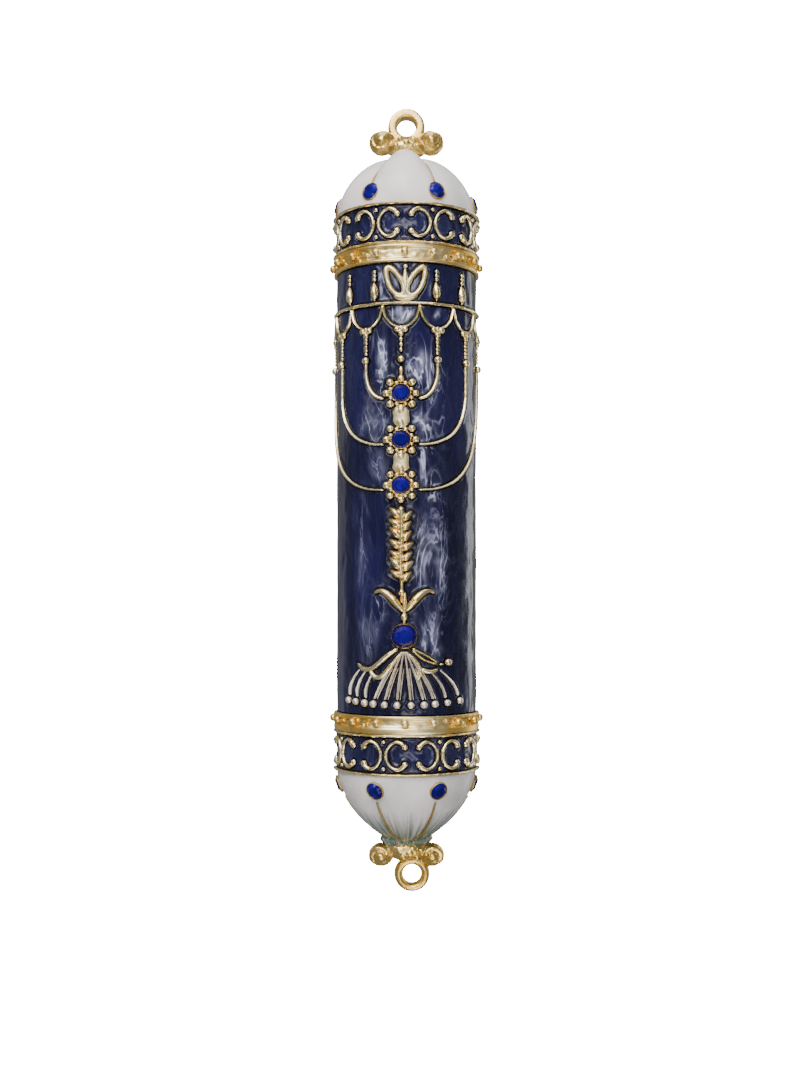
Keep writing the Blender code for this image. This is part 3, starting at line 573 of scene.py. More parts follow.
def strand(points, width, height, shares=(1, 1), closed=False, wobble=0.07, lean=0.0, mark=True):
    # a low wire drawn flat, half of it sunk in the enamel
    path = smoothPath(points, closed)
    length = sum((b - a).length for a, b in zip(path, path[1:]))
    seed = chance.random() * 90
    done = 0.0
    radii = []
    for i, spot in enumerate(path):
        if i:
            done += (spot - path[i - 1]).length
        share = sharesAlong(shares, i / max(1, len(path) - 1))
        share *= 1 + wobble * noiseAt(spot.x * 1.3, seed, spot.y * 1.3)
        if not closed:
            short = min(done, length - done) / (width / 2)
            share *= sqrt(1 - (1 - min(short, 1)) ** 2 * 0.96)
        radii.append(width / 2 * share)
        if mark:
            marks.append((spot.x, spot.y, width / 2 * share))
    obj = curveMesh([(p.x, 0, p.y) for p in path], radii, closed)
    scale = Matrix.Diagonal((1, height / (width / 2), 1, 1))
    obj.data.transform(Matrix.Translation((0, -lean, 0)) @ scale)
    return obj


def makeBead():
    # a cast bead, a little flat on top and not quite round
    obj = sphere(20, 12, pi / 2)
    points = coordsOf(obj)
    for point in points:
        swell = 1 + 0.05 * noise.noise(Vector(point) * 1.6)
        point *= swell
        point[1] = max(point[1], -0.93)
    setCoords(obj, points)
    obj.name = "beadModel"
    return obj


def makeLeaf():
    # a plump leaf that points up, thickest below its middle
    obj = sphere(20, 16)
    points = coordsOf(obj)
    for point in points:
        part = (point[2] + 1) / 2
        slim = 1.08 - 0.62 * part ** 1.7
        point[0] *= slim
        point[1] *= slim * (1 + 0.12 * cos(point[0] * 3))
        point[0] += 0.16 * part ** 2
    setCoords(obj, points)
    obj.name = "leafModel"
    return obj


beadModel, leafModel = makeBead(), makeLeaf()


def bead(along, up, radius, rise=0.35, long=1.0, mark=True):
    size = radius * (1 + chance.uniform(-0.06, 0.06))
    place = Matrix.Translation((along, -rise * radius, up))
    turn = Matrix.Rotation(chance.uniform(0, 6), 4, "Y") if long == 1.0 else Matrix.Identity(4)
    if mark:
        marks.append((along, up, radius * 0.95))
        if long > 1.2:
            marks.extend([(along, up + s * radius * (long - 1), radius * 0.8) for s in (-1, 1)])
    return copyOf(beadModel, place @ Matrix.Diagonal((size, size, size * long, 1)) @ turn)


def leaf(along, up, length, width, height, angle, rise=0.0, mark=True):
    place = Matrix.Translation((along, -rise, up)) @ Matrix.Rotation(angle, 4, "Y")
    flip = -1 if angle < 0 else 1
    if mark:
        for step in (-0.6, -0.2, 0.2, 0.6):
            marks.append((along + sin(angle) * length / 2 * step, up + cos(angle) * length / 2 * step,
                          width / 2 * 0.85))
    return copyOf(leafModel, place @ Matrix.Diagonal((-flip * width / 2, height, length / 2, 1)))


def relief(pieces, name, look, nodes, angle=60):
    return finishPiece(wrapOnTube(joined(pieces, name)), name, look, nodes, angle=angle)


# enamelled sheets, drawn flat and wrapped

def sheet(low, high, heightAt, pitch, fields):
    # heightAt gives the height at a spot, then a value for each of the fields
    columns, rows = round(2 * edgeU / pitch), round((high - low) / pitch)
    nothing()
    bpy.ops.mesh.primitive_grid_add(x_subdivisions=columns, y_subdivisions=rows, size=2,
                                    rotation=(pi / 2, 0, 0), location=(0, 0, (low + high) / 2))
    obj = added()
    obj.scale = (edgeU, (high - low) / 2, 1)
    settle(obj)
    points = coordsOf(obj)
    across = len(np.unique(np.round(points[:, 0], 5)))
    order = np.lexsort((points[:, 0], np.round(points[:, 2], 4)))
    values = [heightAt(u, z) for u, _, z in points]
    points[:, 1] = [-v[0] for v in values]
    setCoords(obj, points)
    # the wall behind: the border goes straight back and long strips close the inside
    shape = bmesh.new()
    shape.from_mesh(obj.data)
    shape.verts.ensure_lookup_table()
    grid = [[shape.verts[i] for i in order[r * across:(r + 1) * across]]
            for r in range(len(points) // across)]
    border = {}

    def behind(vert):
        if vert not in border:
            border[vert] = shape.verts.new((vert.co.x, wall, vert.co.z))
        return border[vert]

    for line in (grid[0], grid[-1], [row[0] for row in grid], [row[-1] for row in grid]):
        for one, two in zip(line, line[1:]):
            shape.faces.new((one, two, behind(two), behind(one)))
    left = [behind(row[0]) for row in grid[1:-1]]
    right = [behind(row[-1]) for row in grid[1:-1]]
    for i in range(across - 1):
        lowPair = [behind(grid[0][i]), behind(grid[0][i + 1])]
        highPair = [behind(grid[-1][i + 1]), behind(grid[-1][i])]
        shape.faces.new(lowPair + (right if i == across - 2 else []) + highPair
                        + (left[::-1] if i == 0 else []))
    bmesh.ops.recalc_face_normals(shape, faces=shape.faces)
    shape.to_mesh(obj.data)
    shape.free()
    extra = len(obj.data.vertices) - len(values)
    for k, field in enumerate(fields):
        setField(obj, field, [v[k + 1] for v in values] + [0.0] * extra)
    return obj


def nearest(tree, widths, u, z):
    # how far the enamel is from the edge of the gold
    best = 9.0
    for _, index, distance in tree.find_n((u, 0, z), 5):
        best = min(best, distance - widths[index])
    return best


def treeOf(points):
    tree = kdtree.KDTree(len(points))
    for i, (u, z, _) in enumerate(points):
        tree.insert((u, 0, z), i)
    tree.balance()
    return tree, [w for _, _, w in points]


# how enamel stands against gold: a lip a little way off, a groove, and beside it a dark rim of painted
# shade, partly the dark metal ground at the gold's edge
floodSet = {
    "band": {"lip": 0.16, "lipAt": 0.30, "lipWide": 0.15, "groove": 0.10, "grooveWide": 0.12,
             "rim": 0.90, "rimAt": 0.02, "rimWide": 0.16},
    "tube": {"lip": 0.10, "lipAt": 0.34, "lipWide": 0.20, "groove": 0.14, "grooveWide": 0.15,
             "rim": 0.92, "rimAt": 0.04, "rimWide": 0.24},
}


def flooded(gap, s):
    # the enamel's height and how dark its rim of painted shade is, this far from the gold
    lip = s["lip"] * exp(-((gap - s["lipAt"]) / s["lipWide"]) ** 2)
    groove = s["groove"] * exp(-(max(gap, 0) / s["grooveWide"]) ** 2)
    rim = s["rim"] * exp(-(max(gap - s["rimAt"], 0) / s["rimWide"]) ** 2)
    return lip - groove, rim


# scroll bands

bandSet = {
    "step": radians(22.5) * tubeRadius,
    "scrollWide": 1.55, "scrollHigh": 2.15, "wire": 0.62, "wireHigh": 0.55, "bulb": 0.52,
    "edgeWide": 0.52, "edgeHigh": 0.62, "dot": 0.33,
}


def cScroll(centre, middle, facing):
    s = bandSet
    points = []
    for degrees in (42, 62, 90, 125, 155, 180, 205, 235, 270, 298, 318):
        turn = radians(degrees)
        swell = 1 + 0.10 * cos(turn) ** 2
        points.append((centre + facing * (s["scrollWide"] * swell * cos(turn) - 0.1),
                       middle + s["scrollHigh"] * sin(turn)))
    pieces = [strand(points, s["wire"], s["wireHigh"],
                     (1.5, 1.15, 0.9, 0.85, 0.95, 0.85, 0.9, 1.15, 1.5))]
    for u, z in (points[0], points[-1]):
        inward = 0.10 if z < middle else -0.10
        pieces.append(bead(u + facing * 0.02, z + inward, s["bulb"], 0.15))
    return pieces


def scrollBand(side, name):
    low, high = boxOf(f"{side}_scroll_band")
    s = bandSet
    middle = (low.z + high.z) / 2
    shift = {"top": -0.4, "bottom": 0.8}[side]
    marks.clear()
    pieces = []
    for edge in (low.z + 0.1, high.z - 0.1):
        points = [(u, edge) for u in np.linspace(-edgeU + 0.9, edgeU - 0.9, 24)]
        pieces.append(strand(points, s["edgeWide"], s["edgeHigh"], wobble=0.12))
    edges = joined(pieces, "edges")
    pieces = []
    for i in range(-4, 4):
        centre = (i + 0.5) * s["step"] + shift
        if abs(centre) > edgeU - 2.0:
            continue
        pieces += cScroll(centre, middle, 1 if i % 2 else -1)
    for i in (-3, -1, 1, 3):
        for z in (middle - 2.1, middle + 2.1):
            pieces.append(bead(i * s["step"] + shift, z, s["dot"], 0.4))
    pieces = [edges] + pieces
    tree, widths = treeOf(marks)

    def height(u, z):
        flood, rim = flooded(nearest(tree, widths, u, z), floodSet["band"])
        return flood + 0.06 * noiseAt(u * 0.9, 3, z * 0.9), rim

    band = sheet(low.z, high.z, height, 0.14, ("rim",))
    finishPiece(wrapOnTube(band), f"{side}ScrollBand", "band",
                [f"{side}_scroll_band"])
    relief(pieces, name, "wire", [f"{side}_scroll_gallery"])


scrollBand("top", "topScrolls")
scrollBand("bottom", "bottomScrolls")
print("scroll bands made")


# collars

collarSet = {"rim": 0.48, "rimWide": 0.34, "bead": 0.64, "plain": 26}


def collar(side):
    low, high = boxOf(f"{side}_collar")
    s = collarSet
    lowWide = s["rimWide"] * (1.9 if side == "bottom" else 1.0)

    def height(u, z):
        degrees = abs(u / tubeRadius) * 180 / pi
        rough = min(1, max(0, (degrees - s["plain"]) / 14))
        lowRim = exp(-((z - low.z - lowWide * 0.7) / lowWide) ** 4)
        highRim = exp(-((z - high.z + s["rimWide"] * 0.8) / s["rimWide"]) ** 4)
        rim = max(lowRim, highRim)
        dents = 0.07 * noiseAt(u * 1.1, 5, z * 1.6)
        grains = 0.24 * rough * noiseAt(u * 2.7, 9, z * 2.7)
        grains += 0.12 * rough * noiseAt(u * 6.0, 2, z * 6.0)
        return (0.10 + dents + grains) * (1 - rim) + s["rim"] * rim + 0.03 * dents, 0

    ring = sheet(low.z, high.z, height, 0.11, ("rim",))
    middle = (low.z + lowWide + high.z) / 2
    beads = []
    for i in range(-4, 5):
        beads.append(bead(i * bandSet["step"] * 0.99 - 0.3, middle, s["bead"], 0.85, mark=False))
    for i in range(-9, 10):
        # small grains lie between the beads towards the sides
        u = (i + 0.5) * 1.85
        if abs(u) > 5.4 and abs(u) < edgeU - 0.8:
            beads.append(bead(u, middle + chance.uniform(-0.45, 0.45), 0.36, 0.4, mark=False))
    whole = wrapOnTube(joined([ring] + beads, f"{side}Collar"))
    finishPiece(cutBack(whole), f"{side}Collar", "collar", [f"{side}_collar"], angle=60)


collar("top")
collar("bottom")
print("collars made")


# the lamp, the scallops and the fan, all drawn flat

marks.clear()
ringZ = boxOf("scallop_trim")[1].z - 0.4
lampU = alongCurve("rosette_stone_2")
scallopStep = radians(29) * tubeRadius
scallopDrop = ringZ - boxOf("scallop_trim")[0].z - 0.55
tipZ = boxOf("branch_left_1")[1].z
roseZ = [middleOf(f"rosette_stone_{n}").z for n in (1, 2, 3)]

wireSet = {"wide": (0.60, 0.48, 0.46), "high": 0.48, "line": 0.56, "lineHigh": 0.52, "scallop": 0.44}

pieces = [strand([(u, ringZ) for u in np.linspace(-edgeU + 0.9, edgeU - 0.9, 26)],
                 wireSet["line"], wireSet["lineHigh"], wobble=0.16)]
for i in range(-3, 4):
    points = []
    for share in np.linspace(-1, 1, 13):
        u = lampU + (i + share / 2) * scallopStep
        dip = (1 - abs(share) ** 2.3) ** 0.62
        if abs(u) < edgeU - 0.9:
            points.append((u, ringZ - 0.25 - scallopDrop * dip))
    if len(points) > 3:
        pieces.append(strand(points, wireSet["scallop"], 0.50, (1.1, 0.95, 1.1)))
relief(pieces, "scallopTrim", "wire", ["scallop_trim"])

for number in range(-3, 4):
    u = lampU + number * scallopStep
    top = ringZ - scallopDrop - 0.62
    sideName = "middle" if not number else f"{'left' if number < 0 else 'right'}_{abs(number)}"
    pieces = [bead(u - 0.62, top, 0.52), bead(u + 0.62, top, 0.52), bead(u, top + 0.22, 0.42),
              bead(u, top - 0.72, 0.44), bead(u - 0.2, top - 0.3, 0.36)]
    if number:
        z = top - 1.35
        while z > tipZ + 1.35:
            pieces.append(bead(u + chance.uniform(-0.05, 0.05), z, 0.29, 0.45))
            z -= 0.56
        pieces.append(bead(u, tipZ + 0.75, 0.62, 0.45))
    else:
        pieces += [bead(u, top - 1.55, 0.30, 0.4, 1.35), bead(u, top - 2.35, 0.33, 0.4, 1.25),
                   bead(u, top - 3.15, 0.30, 0.4, 1.3), bead(u, tipZ + 0.75, 0.60, 0.45),
                   bead(u, tipZ - 1.05, 0.36, 0.4, 2.2)]
    cap = sideName[0].upper() + sideName[1:].replace("_", "")
    relief(pieces, f"beadChain{cap}", "bead", [f"bead_chain_{sideName}"])

# arms of the lamp: straight down from the tip, then a quarter oval in to the rosette
for number in (1, 2, 3):
    for side, word in ((-1, "left"), (1, "right")):
        tip = lampU + side * number * scallopStep
        end = lampU + side * 2.7
        endZ = roseZ[number - 1] - 0.75
        drop = min(tipZ - endZ, (4.6, 8.4, 20)[number - 1])
        reach = tip - end
        points = [(tip, tipZ + 0.5)]
        points += [(end + reach * cos(radians(a)) ** 0.92, endZ + drop * (1 - sin(radians(a))))
                   for a in range(0, 91, 9)]
        wire = strand(points, wireSet["wide"][number - 1], wireSet["high"],
                      (0.85, 0.9, 0.95, 1.1, 1.05, 0.8))
        cap = word.capitalize()
        relief([wire], f"branch{cap}{number}", "wire", [f"branch_{word}_{number}"])
print("lamp arms made")


# frieze: three leaves in the middle, drops each side

friezeU = alongCurve("frieze_palmette")
footZ = boxOf("frieze_palmette")[0].z
friezeTop = boxOf("frieze_palmette")[1].z

palmetteSet = {"stroke": 0.86, "high": 0.62, "lean": 27, "long": 4.9}

pieces = [strand([(friezeU - 1.9, footZ + 0.75), (friezeU - 1.0, footZ + 0.28), (friezeU, footZ + 0.2),
                  (friezeU + 1.0, footZ + 0.28), (friezeU + 1.9, footZ + 0.75)], 1.05, 0.68,
                 (0.8, 1.1, 0.8))]
for side in (-1, 1):
    s = palmetteSet
    points = []
    for degrees in range(0, 360, 24):
        turn = radians(degrees)
        across = 0.98 * sin(turn) * (1 + 0.25 * cos(turn))
        along = s["long"] / 2 * (1 - cos(turn))
        lean = radians(s["lean"]) * side
        points.append((friezeU + side * 0.62 + along * sin(lean) + across * cos(lean),
                       footZ + 0.62 + along * cos(lean) - across * sin(lean)))
    pieces.append(strand(points, s["stroke"], s["high"], closed=True, wobble=0.14))
pieces.append(leaf(friezeU, footZ + 2.75, 4.4, 1.15, 0.62, 0.0001))
pieces.append(bead(friezeU, footZ + 5.05, 0.36))
relief(pieces, "friezePalmette", "stem", ["frieze_palmette"])

for number in range(1, 5):
    low, high = boxOf(f"frieze_drop_{number}")
    u = alongCurve(f"frieze_drop_{number}")
    pieces = [leaf(u, low.z + 1.25, 2.7, 1.45, 0.7, 0.0001, 0.1),
              bead(u, low.z + 0.9, 0.52, 0.2)]
    z = low.z + 2.95
    while z < high.z:
        pieces.append(bead(u, z, 0.31, 0.45))
        z += 0.62
    pieces.append(strand([(u, low.z + 0.3), (u, low.z - 0.45)], 0.34, 0.35))
    relief(pieces, f"friezeDrop{number}", "bead", [f"frieze_drop_{number}"])
print("frieze made")


# stones and settings

def makeStone():
    # twelve-sided with a flat table, which is turned half a step to give the crown its facets
    nothing()
    bpy.ops.mesh.primitive_cone_add(vertices=12, radius1=1.0, radius2=0.62, depth=0.5,
                                    rotation=(pi / 2, 0, 0))
    obj = settle(added())

    def selectFacing(way):
        bpy.ops.mesh.select_all(action="DESELECT")
        for face in bmesh.from_edit_mesh(obj.data).faces:
            face.select = face.normal.y * way > 0.9
        bmesh.update_edit_mesh(obj.data)

    with editing(obj):
        selectFacing(-1)
        bpy.ops.transform.rotate(value=pi / 12, orient_axis="Y", center_override=(0, 0, 0))
        bpy.ops.mesh.select_all(action="SELECT")
        bpy.ops.mesh.quads_convert_to_tris(quad_method="BEAUTY", ngon_method="BEAUTY")
        selectFacing(1)
        bpy.ops.mesh.extrude_region_move(TRANSFORM_OT_translate={"value": (0, 0.5, 0)})
    obj.name = "stoneModel"
    return cleaned(obj)


stoneModel = makeStone()


def stonePiece(matrix, name, node, wrap=False):
    obj = copyOf(stoneModel, matrix, name)
    if wrap:
        wrapOnTube(obj)
    return finishPiece(obj, name, "stone", [node], angle=4)


def flatRing(along, up, radius, width, height, lean=0.0):
    points = [(along + radius * cos(a), up + radius * sin(a)) for a in np.linspace(0, 2 * pi, 28)[:-1]]
    return strand(points, width, height, closed=True, wobble=0.04, lean=lean, mark=False)


rosetteSet = {"beadRing": 2.30, "bead": 0.58, "stone": 1.36}

for number, z in enumerate(roseZ):
    s = rosetteSet
    pieces = [flatRing(lampU, z, 1.42, 0.30, 0.42, 0.30)]
    pieces.append(bead(lampU, z, 1.72, 0.0, mark=False))
    pieces[-1].data.transform(Matrix.Diagonal((1, 0.24, 1, 1)))
    for i in range(8):
        turn = 2 * pi * i / 8
        reach = s["beadRing"] * (1.04 if i % 2 else 0.98)
        pieces.append(bead(lampU + reach * cos(turn), z + reach * sin(turn), s["bead"], 0.42))
        half = turn + pi / 8
        pieces.append(bead(lampU + 1.75 * cos(half), z + 1.75 * sin(half), 0.34, 0.3))
    marks.append((lampU, z, 2.0))
    relief(pieces, f"rosette{number + 1}", "bead", [f"rosette_{number + 1}"])
    place = Matrix.Translation((lampU, -0.62, z)) @ Matrix.Rotation(0.3 * number, 4, "Y")
    stonePiece(place @ Matrix.Diagonal((s["stone"], 0.9, s["stone"], 1)), f"rosetteStone{number + 1}",
               f"rosette_stone_{number + 1}", wrap=True)

baseU, baseZ = alongCurve("base_stone"), middleOf("base_stone").z
ring = [flatRing(baseU, baseZ, 1.82, 0.26, 0.60, 0.2), flatRing(baseU, baseZ, 1.80, 0.50, 0.3)]
marks.extend([(baseU + 1.4 * cos(a), baseZ + 1.4 * sin(a), 0.6) for a in np.linspace(0, 6, 9)])
marks.append((baseU, baseZ, 1.6))
relief(ring, "baseSetting", "edge", ["base_setting"])
stonePiece(Matrix.Translation((baseU, -0.55, baseZ)) @ Matrix.Diagonal((1.74, 1.1, 1.74, 1)),
           "baseStone", "base_stone", wrap=True)
print("stones set")


# stem, spine and wing leaf

for number in (1, 2):
    low, high = boxOf(f"stem_plate_{number}")
    top, bottom = high.z + 1.5, low.z - 1.5
    points = [(lampU + chance.uniform(-0.05, 0.05), z) for z in np.linspace(top, bottom, 7)]
    plate = strand(points, 2.5, 0.52, (0.95, 1.05, 0.98, 1.08, 0.95), wobble=0.12)
    flat = coordsOf(plate)
    for point in flat:
        # hammered flat on top
        dent = 0.06 * noiseAt(point[0] * 1.5, 1, point[2] * 1.5)
        point[1] = max(point[1], -0.40 + dent)
    setCoords(plate, flat)
    beads = [bead(lampU, top - 0.9, 0.5, 0.9, mark=False),
             bead(lampU - 0.1, bottom + 1.0, 0.5, 0.9, mark=False)]
    relief([plate] + beads, f"stemPlate{number}", "stem", [f"stem_plate_{number}"])

spineLow, spineHigh = boxOf("leaf_spine")
spineSet = {"pairs": 7, "leafLong": 2.30, "leafWide": 1.42, "leafHigh": 0.92, "lean": 56}
s = spineSet
leafEnd = spineLow.z + 1.9
pitch = (spineHigh.z - 0.9 - leafEnd) / s["pairs"]
pieces = [strand([(lampU, spineHigh.z), (lampU + 0.12, spineHigh.z - 4), (lampU - 0.1, spineHigh.z - 8),
                  (lampU + 0.1, spineLow.z + 2), (lampU + 0.1, spineLow.z - 1.2)], 1.0, 0.72,
                 (1.0, 1.1, 0.9, 1.05, 0.6, 0.5))]
for i in range(s["pairs"]):
    for side in (-1, 1):
        z = spineHigh.z - 1.0 - pitch * (i + 0.28 * (side > 0)) + chance.uniform(-0.12, 0.12)
        size = chance.uniform(0.88, 1.12)
        angle = radians(s["lean"] + chance.uniform(-12, 10)) * side
        pieces.append(leaf(lampU + side * (0.90 + chance.uniform(-0.08, 0.1)), z, s["leafLong"] * size,
                           s["leafWide"] * size, s["leafHigh"], angle, 0.05))
        if chance.random() < 0.3:
            pieces.append(bead(lampU + side * 0.35, z - 0.35, 0.42, 0.7))
pieces.append(bead(lampU + 0.12, spineLow.z + 0.5, 0.46, 0.5, 1.3))
relief(pieces, "leafSpine", "leaf", ["leaf_spine"], angle=70)

wingLow, wingHigh = boxOf("wing_leaf")
rootZ = wingLow.z + 0.55
pieces = []
for side in (-1, 1):
    points = [(baseU + side * u, rootZ + z) for u, z in
              ((0, -0.6), (0.9, 0.35), (2.0, 1.65), (3.1, 2.5), (4.1, 2.72), (4.95, 2.25))]
    pieces.append(strand(points, 1.25, 0.72, (0.4, 0.85, 1.08, 0.95, 0.62, 0.42), wobble=0.08))
pieces.append(strand([(baseU + 0.1, rootZ + 2.6), (baseU + 0.05, rootZ + 1), (baseU, rootZ - 0.4)],
                     0.75, 0.6, (0.6, 1, 0.6)))
pieces.append(strand([(baseU, rootZ - 0.3), (baseU, baseZ + 1.9)], 0.5, 0.42))
pieces.append(bead(baseU, rootZ - 1.35, 0.58, 0.45, 1.15))
relief(pieces, "wingLeaf", "leaf", ["wing_leaf"], angle=70)
print("spine and wing leaf made")


# fan and ribbons

fanLow, fanHigh = boxOf("base_fan")
fanFoot = fanLow.z + 1.15
fanSet = {"rib": 0.44, "ribHigh": 0.54, "bead": 0.56,
          "feet": (-9.6, -8.0, -6.3, -4.8, -3.0, -1.1, 0.95, 2.9, 4.6, 6.7, 9.2)}
pieces = []
top = baseZ - 2.3
for i, foot in enumerate(fanSet["feet"]):
    share = foot / 9.6
    lift = 0.55 * share * share
    startU = baseU + 0.75 * share
    start = (startU, top - 0.15 * abs(share))
    if abs(share) > 0.62:
        # the outer ribs start under a ribbon and bow outward like a skirt
        start = (baseU + foot * (0.79 if share < 0 else 0.62), fanFoot + lift + 4.2)
    end = (baseU + foot, fanFoot + lift)
    bow = 0.10 * foot
    points = [start,
              (start[0] * 0.66 + end[0] * 0.34 + bow * 0.5, start[1] * 0.66 + end[1] * 0.34),
              (start[0] * 0.33 + end[0] * 0.67 + bow * 0.55, start[1] * 0.33 + end[1] * 0.67), end]
    pieces.append(strand(points, fanSet["rib"], fanSet["ribHigh"], (0.55, 0.85, 1.1, 0.95), wobble=0.2))
    if 2 < i < 9:
        # a fainter line beside the rib
        beside = [(u + 0.42 + 0.02 * k, z) for k, (u, z) in enumerate(points[1:])]
        pieces.append(strand(beside, fanSet["rib"] * 0.6, 0.3, (0.5, 1, 0.7), wobble=0.2))
    pieces.append(bead(baseU + foot * 1.035 + 0.05, fanFoot + lift - 0.72, fanSet["bead"], 0.45))
relief(pieces, "baseFan", "ribGold", ["base_fan"])


def fromBase(*spots):
    return [(baseU + u, baseZ + z) for u, z in spots]


left = [strand(fromBase((-1.0, -1.9), (-2.7, -3.1), (-4.2, -4.4),
                (-5.3, -5.1), (-6.6, -5.2), (-8.1, -4.3)),
               0.88, 0.66, (0.7, 1.0, 1.05, 0.9, 1.05, 0.35)),
        strand(fromBase((-0.5, -2.6), (-2.0, -4.6), (-3.2, -6.0),
                (-4.1, -6.5), (-5.0, -6.1), (-5.6, -5.2)),
               0.80, 0.64, (0.5, 0.8, 1.1, 1.15, 1.0, 0.7))]
relief(left, "ribbonLeft", "wire", ["ribbon_left"])

right = [strand(fromBase((1.2, -1.9), (3.2, -2.9), (5.3, -4.2)),
                0.44, 0.55, (0.9, 1, 0.6)),
         strand(fromBase((1.2, -2.2), (3.0, -3.7), (5.4, -4.5)),
                0.36, 0.42, (0.9, 1, 0.6)),
         strand(fromBase((0.6, -2.7), (1.7, -3.9), (2.4, -5.1),
                 (2.35, -6.0), (1.95, -7.0)), 0.70, 0.6,
                (0.6, 0.9, 1.15, 1.1, 0.7)),
         strand(fromBase((2.5, -5.1), (3.6, -5.55), (4.7, -5.5),
                 (5.3, -5.05)), 0.80, 0.62, (0.8, 1.05, 1.0, 0.6)),
         bead(baseU + 7.1, baseZ - 4.15, 0.62, 0.5),
         strand(fromBase((5.6, -4.5), (6.4, -4.4)), 0.34, 0.36)]
relief(right, "ribbonRight", "wire", ["ribbon_right"])
print("fan and ribbons made")


# the enamelled tube, flooded round the gold

# pools of paler pearly enamel, partly its own marbling and partly painted reflection, from the lamp's
# line and from the frieze's middle, both at the ring line:
# along, up, half width, half height, strength
lampPools = (
    (-0.1, -1.6, 1.9, 1.0, 1.1), (5.7, -1.5, 1.4, 0.8, 0.5), (-3.3, -9.0, 0.7, 3.6, 1.0),
    (-4.6, -6.0, 0.6, 2.2, 0.5), (3.6, -9.8, 1.9, 2.5, 1.3), (4.6, -12.6, 1.0, 2.0, 0.8),
    (-4.5, -18.5, 1.9, 3.2, 0.55), (3.5, -18.0, 1.0, 3.2, 0.85), (6.2, -17.0, 1.4, 4.4, 0.35),
    (3.8, -24.5, 0.8, 2.2, 0.95), (-3.6, -26.0, 1.0, 2.0, 0.35), (4.9, -29.0, 0.9, 1.8, 0.8),
    (3.0, -39.7, 0.8, 4.6, 0.70), (6.0, -40.0, 1.6, 7.5, 0.55), (-6.6, -38.0, 1.2, 6.5, 0.28),
    (-3.2, -46.0, 1.0, 2.2, 0.45), (4.8, -52.5, 1.3, 2.6, 0.62), (-5.4, -52.0, 1.4, 3.6, 0.30),
    (12.6, -42.0, 1.4, 18.0, 0.34),
)
friezePools = (
    (-3.8, 3.6, 0.8, 2.2, 0.6), (4.6, 2.0, 0.8, 1.2, 0.6), (-1.5, 3.4, 0.7, 1.5, 0.8),
    (1.6, 3.4, 0.7, 1.5, 0.8),
)
pearlAndReflectionPools = [(middle + u, ringZ + z, *rest)
              for middle, pools in ((lampU, lampPools), (friezeU, friezePools))
              for u, z, *rest in pools]
tree, widths = treeOf(marks)


def tubeHeight(u, z):
    flood, rim = flooded(nearest(tree, widths, u, z), floodSet["tube"])
    wave = 0.10 * noiseAt(u * 0.42, 1, z * 0.16)
    wave += 0.05 * noiseAt(u * 1.0, 7, z * 0.45)
    bendU = u + 0.9 * noiseAt(u * 0.5, 4, z * 0.33)
    bendZ = z + 1.4 * noiseAt(u * 0.5, 8, z * 0.33)
    # how much pale pearly enamel and painted reflection lies here
    pearlAndReflection = 0.0
    for along, up, wide, tall, strength in pearlAndReflectionPools:
        far = ((bendU - along) / wide) ** 2 + ((bendZ - up) / tall) ** 2
        if far < 8:
            pearlAndReflection += strength * exp(-far * 0.8)
    return flood + wave, rim, min(pearlAndReflection, 1.2)


tube = sheet(tubeLow.z, tubeHigh.z, tubeHeight, 0.2, ("rim", "pearlAndReflection"))
finishPiece(wrapOnTube(tube), "enamelTube", "tube", ["tube_shell"])
print("enamel tube made")


# domes

domeSet = {
    "top": {"power": 1.86, "lobe": 2.1, "sides": 0.42, "squeeze": 0.20,
            "peak": 1.2, "sink": 0.8},
    "bottom": {"power": 1.6, "lobe": 0.5, "sides": 0.8, "squeeze": 0.12,
               "peak": 2.1, "sink": 0.0},
}


def domeShape(side):
    # gives a point of the dome's outside for an angle about the axis and a rise from 0 to 1
    low, high = boxOf(f"{side}_dome")
    up = 1 if side == "top" else -1
    base = low.z if up > 0 else high.z
    s = domeSet[side]
    tall = high.z - low.z - s["sink"]     # the lug's foot covers the tip
    creases = sorted(atan2(c.x, axisY - c.y) for c in
                     (middleOf(f"{side}_dome_wires_stone_{n}") for n in (1, 2, 3, 4)))

    def lobe(angle):
        # 0 at a crease, 1 in the middle of a panel
        edges = [creases[0] - radians(56)] + creases + [creases[-1] + radians(56)]
        for one, two in zip(edges, edges[1:]):
            if one <= angle <= two:
                part = (angle - one) / (two - one)
                return sin(pi * part) ** 0.6 * (1.0 if one < 0 < two else s["sides"])
        return s["sides"] / 2

    def point(angle, rise, lift=0.0):
        turn = pi / 2 * rise
        power = 2 / s["power"]
        radius = tubeRadius * max(cos(turn), 0) ** power
        height = tall * sin(turn) ** power
        slope = Vector(((max(cos(turn), 1e-4) ** (2 - power)) / tubeRadius,
                        (max(sin(turn), 1e-4) ** (2 - power)) / tall)).normalized()
        swell = sin(pi * min(rise, 1) ** s["peak"]) ** 1.1
        grown = lift + s["lobe"] * (lobe(angle) - s["squeeze"]) * swell
        radius += slope.x * grown
        height += slope.y * grown
        return Vector((radius * sin(angle), axisY - radius * cos(angle), base + up * height)), slope

    return point, creases, up, lobe


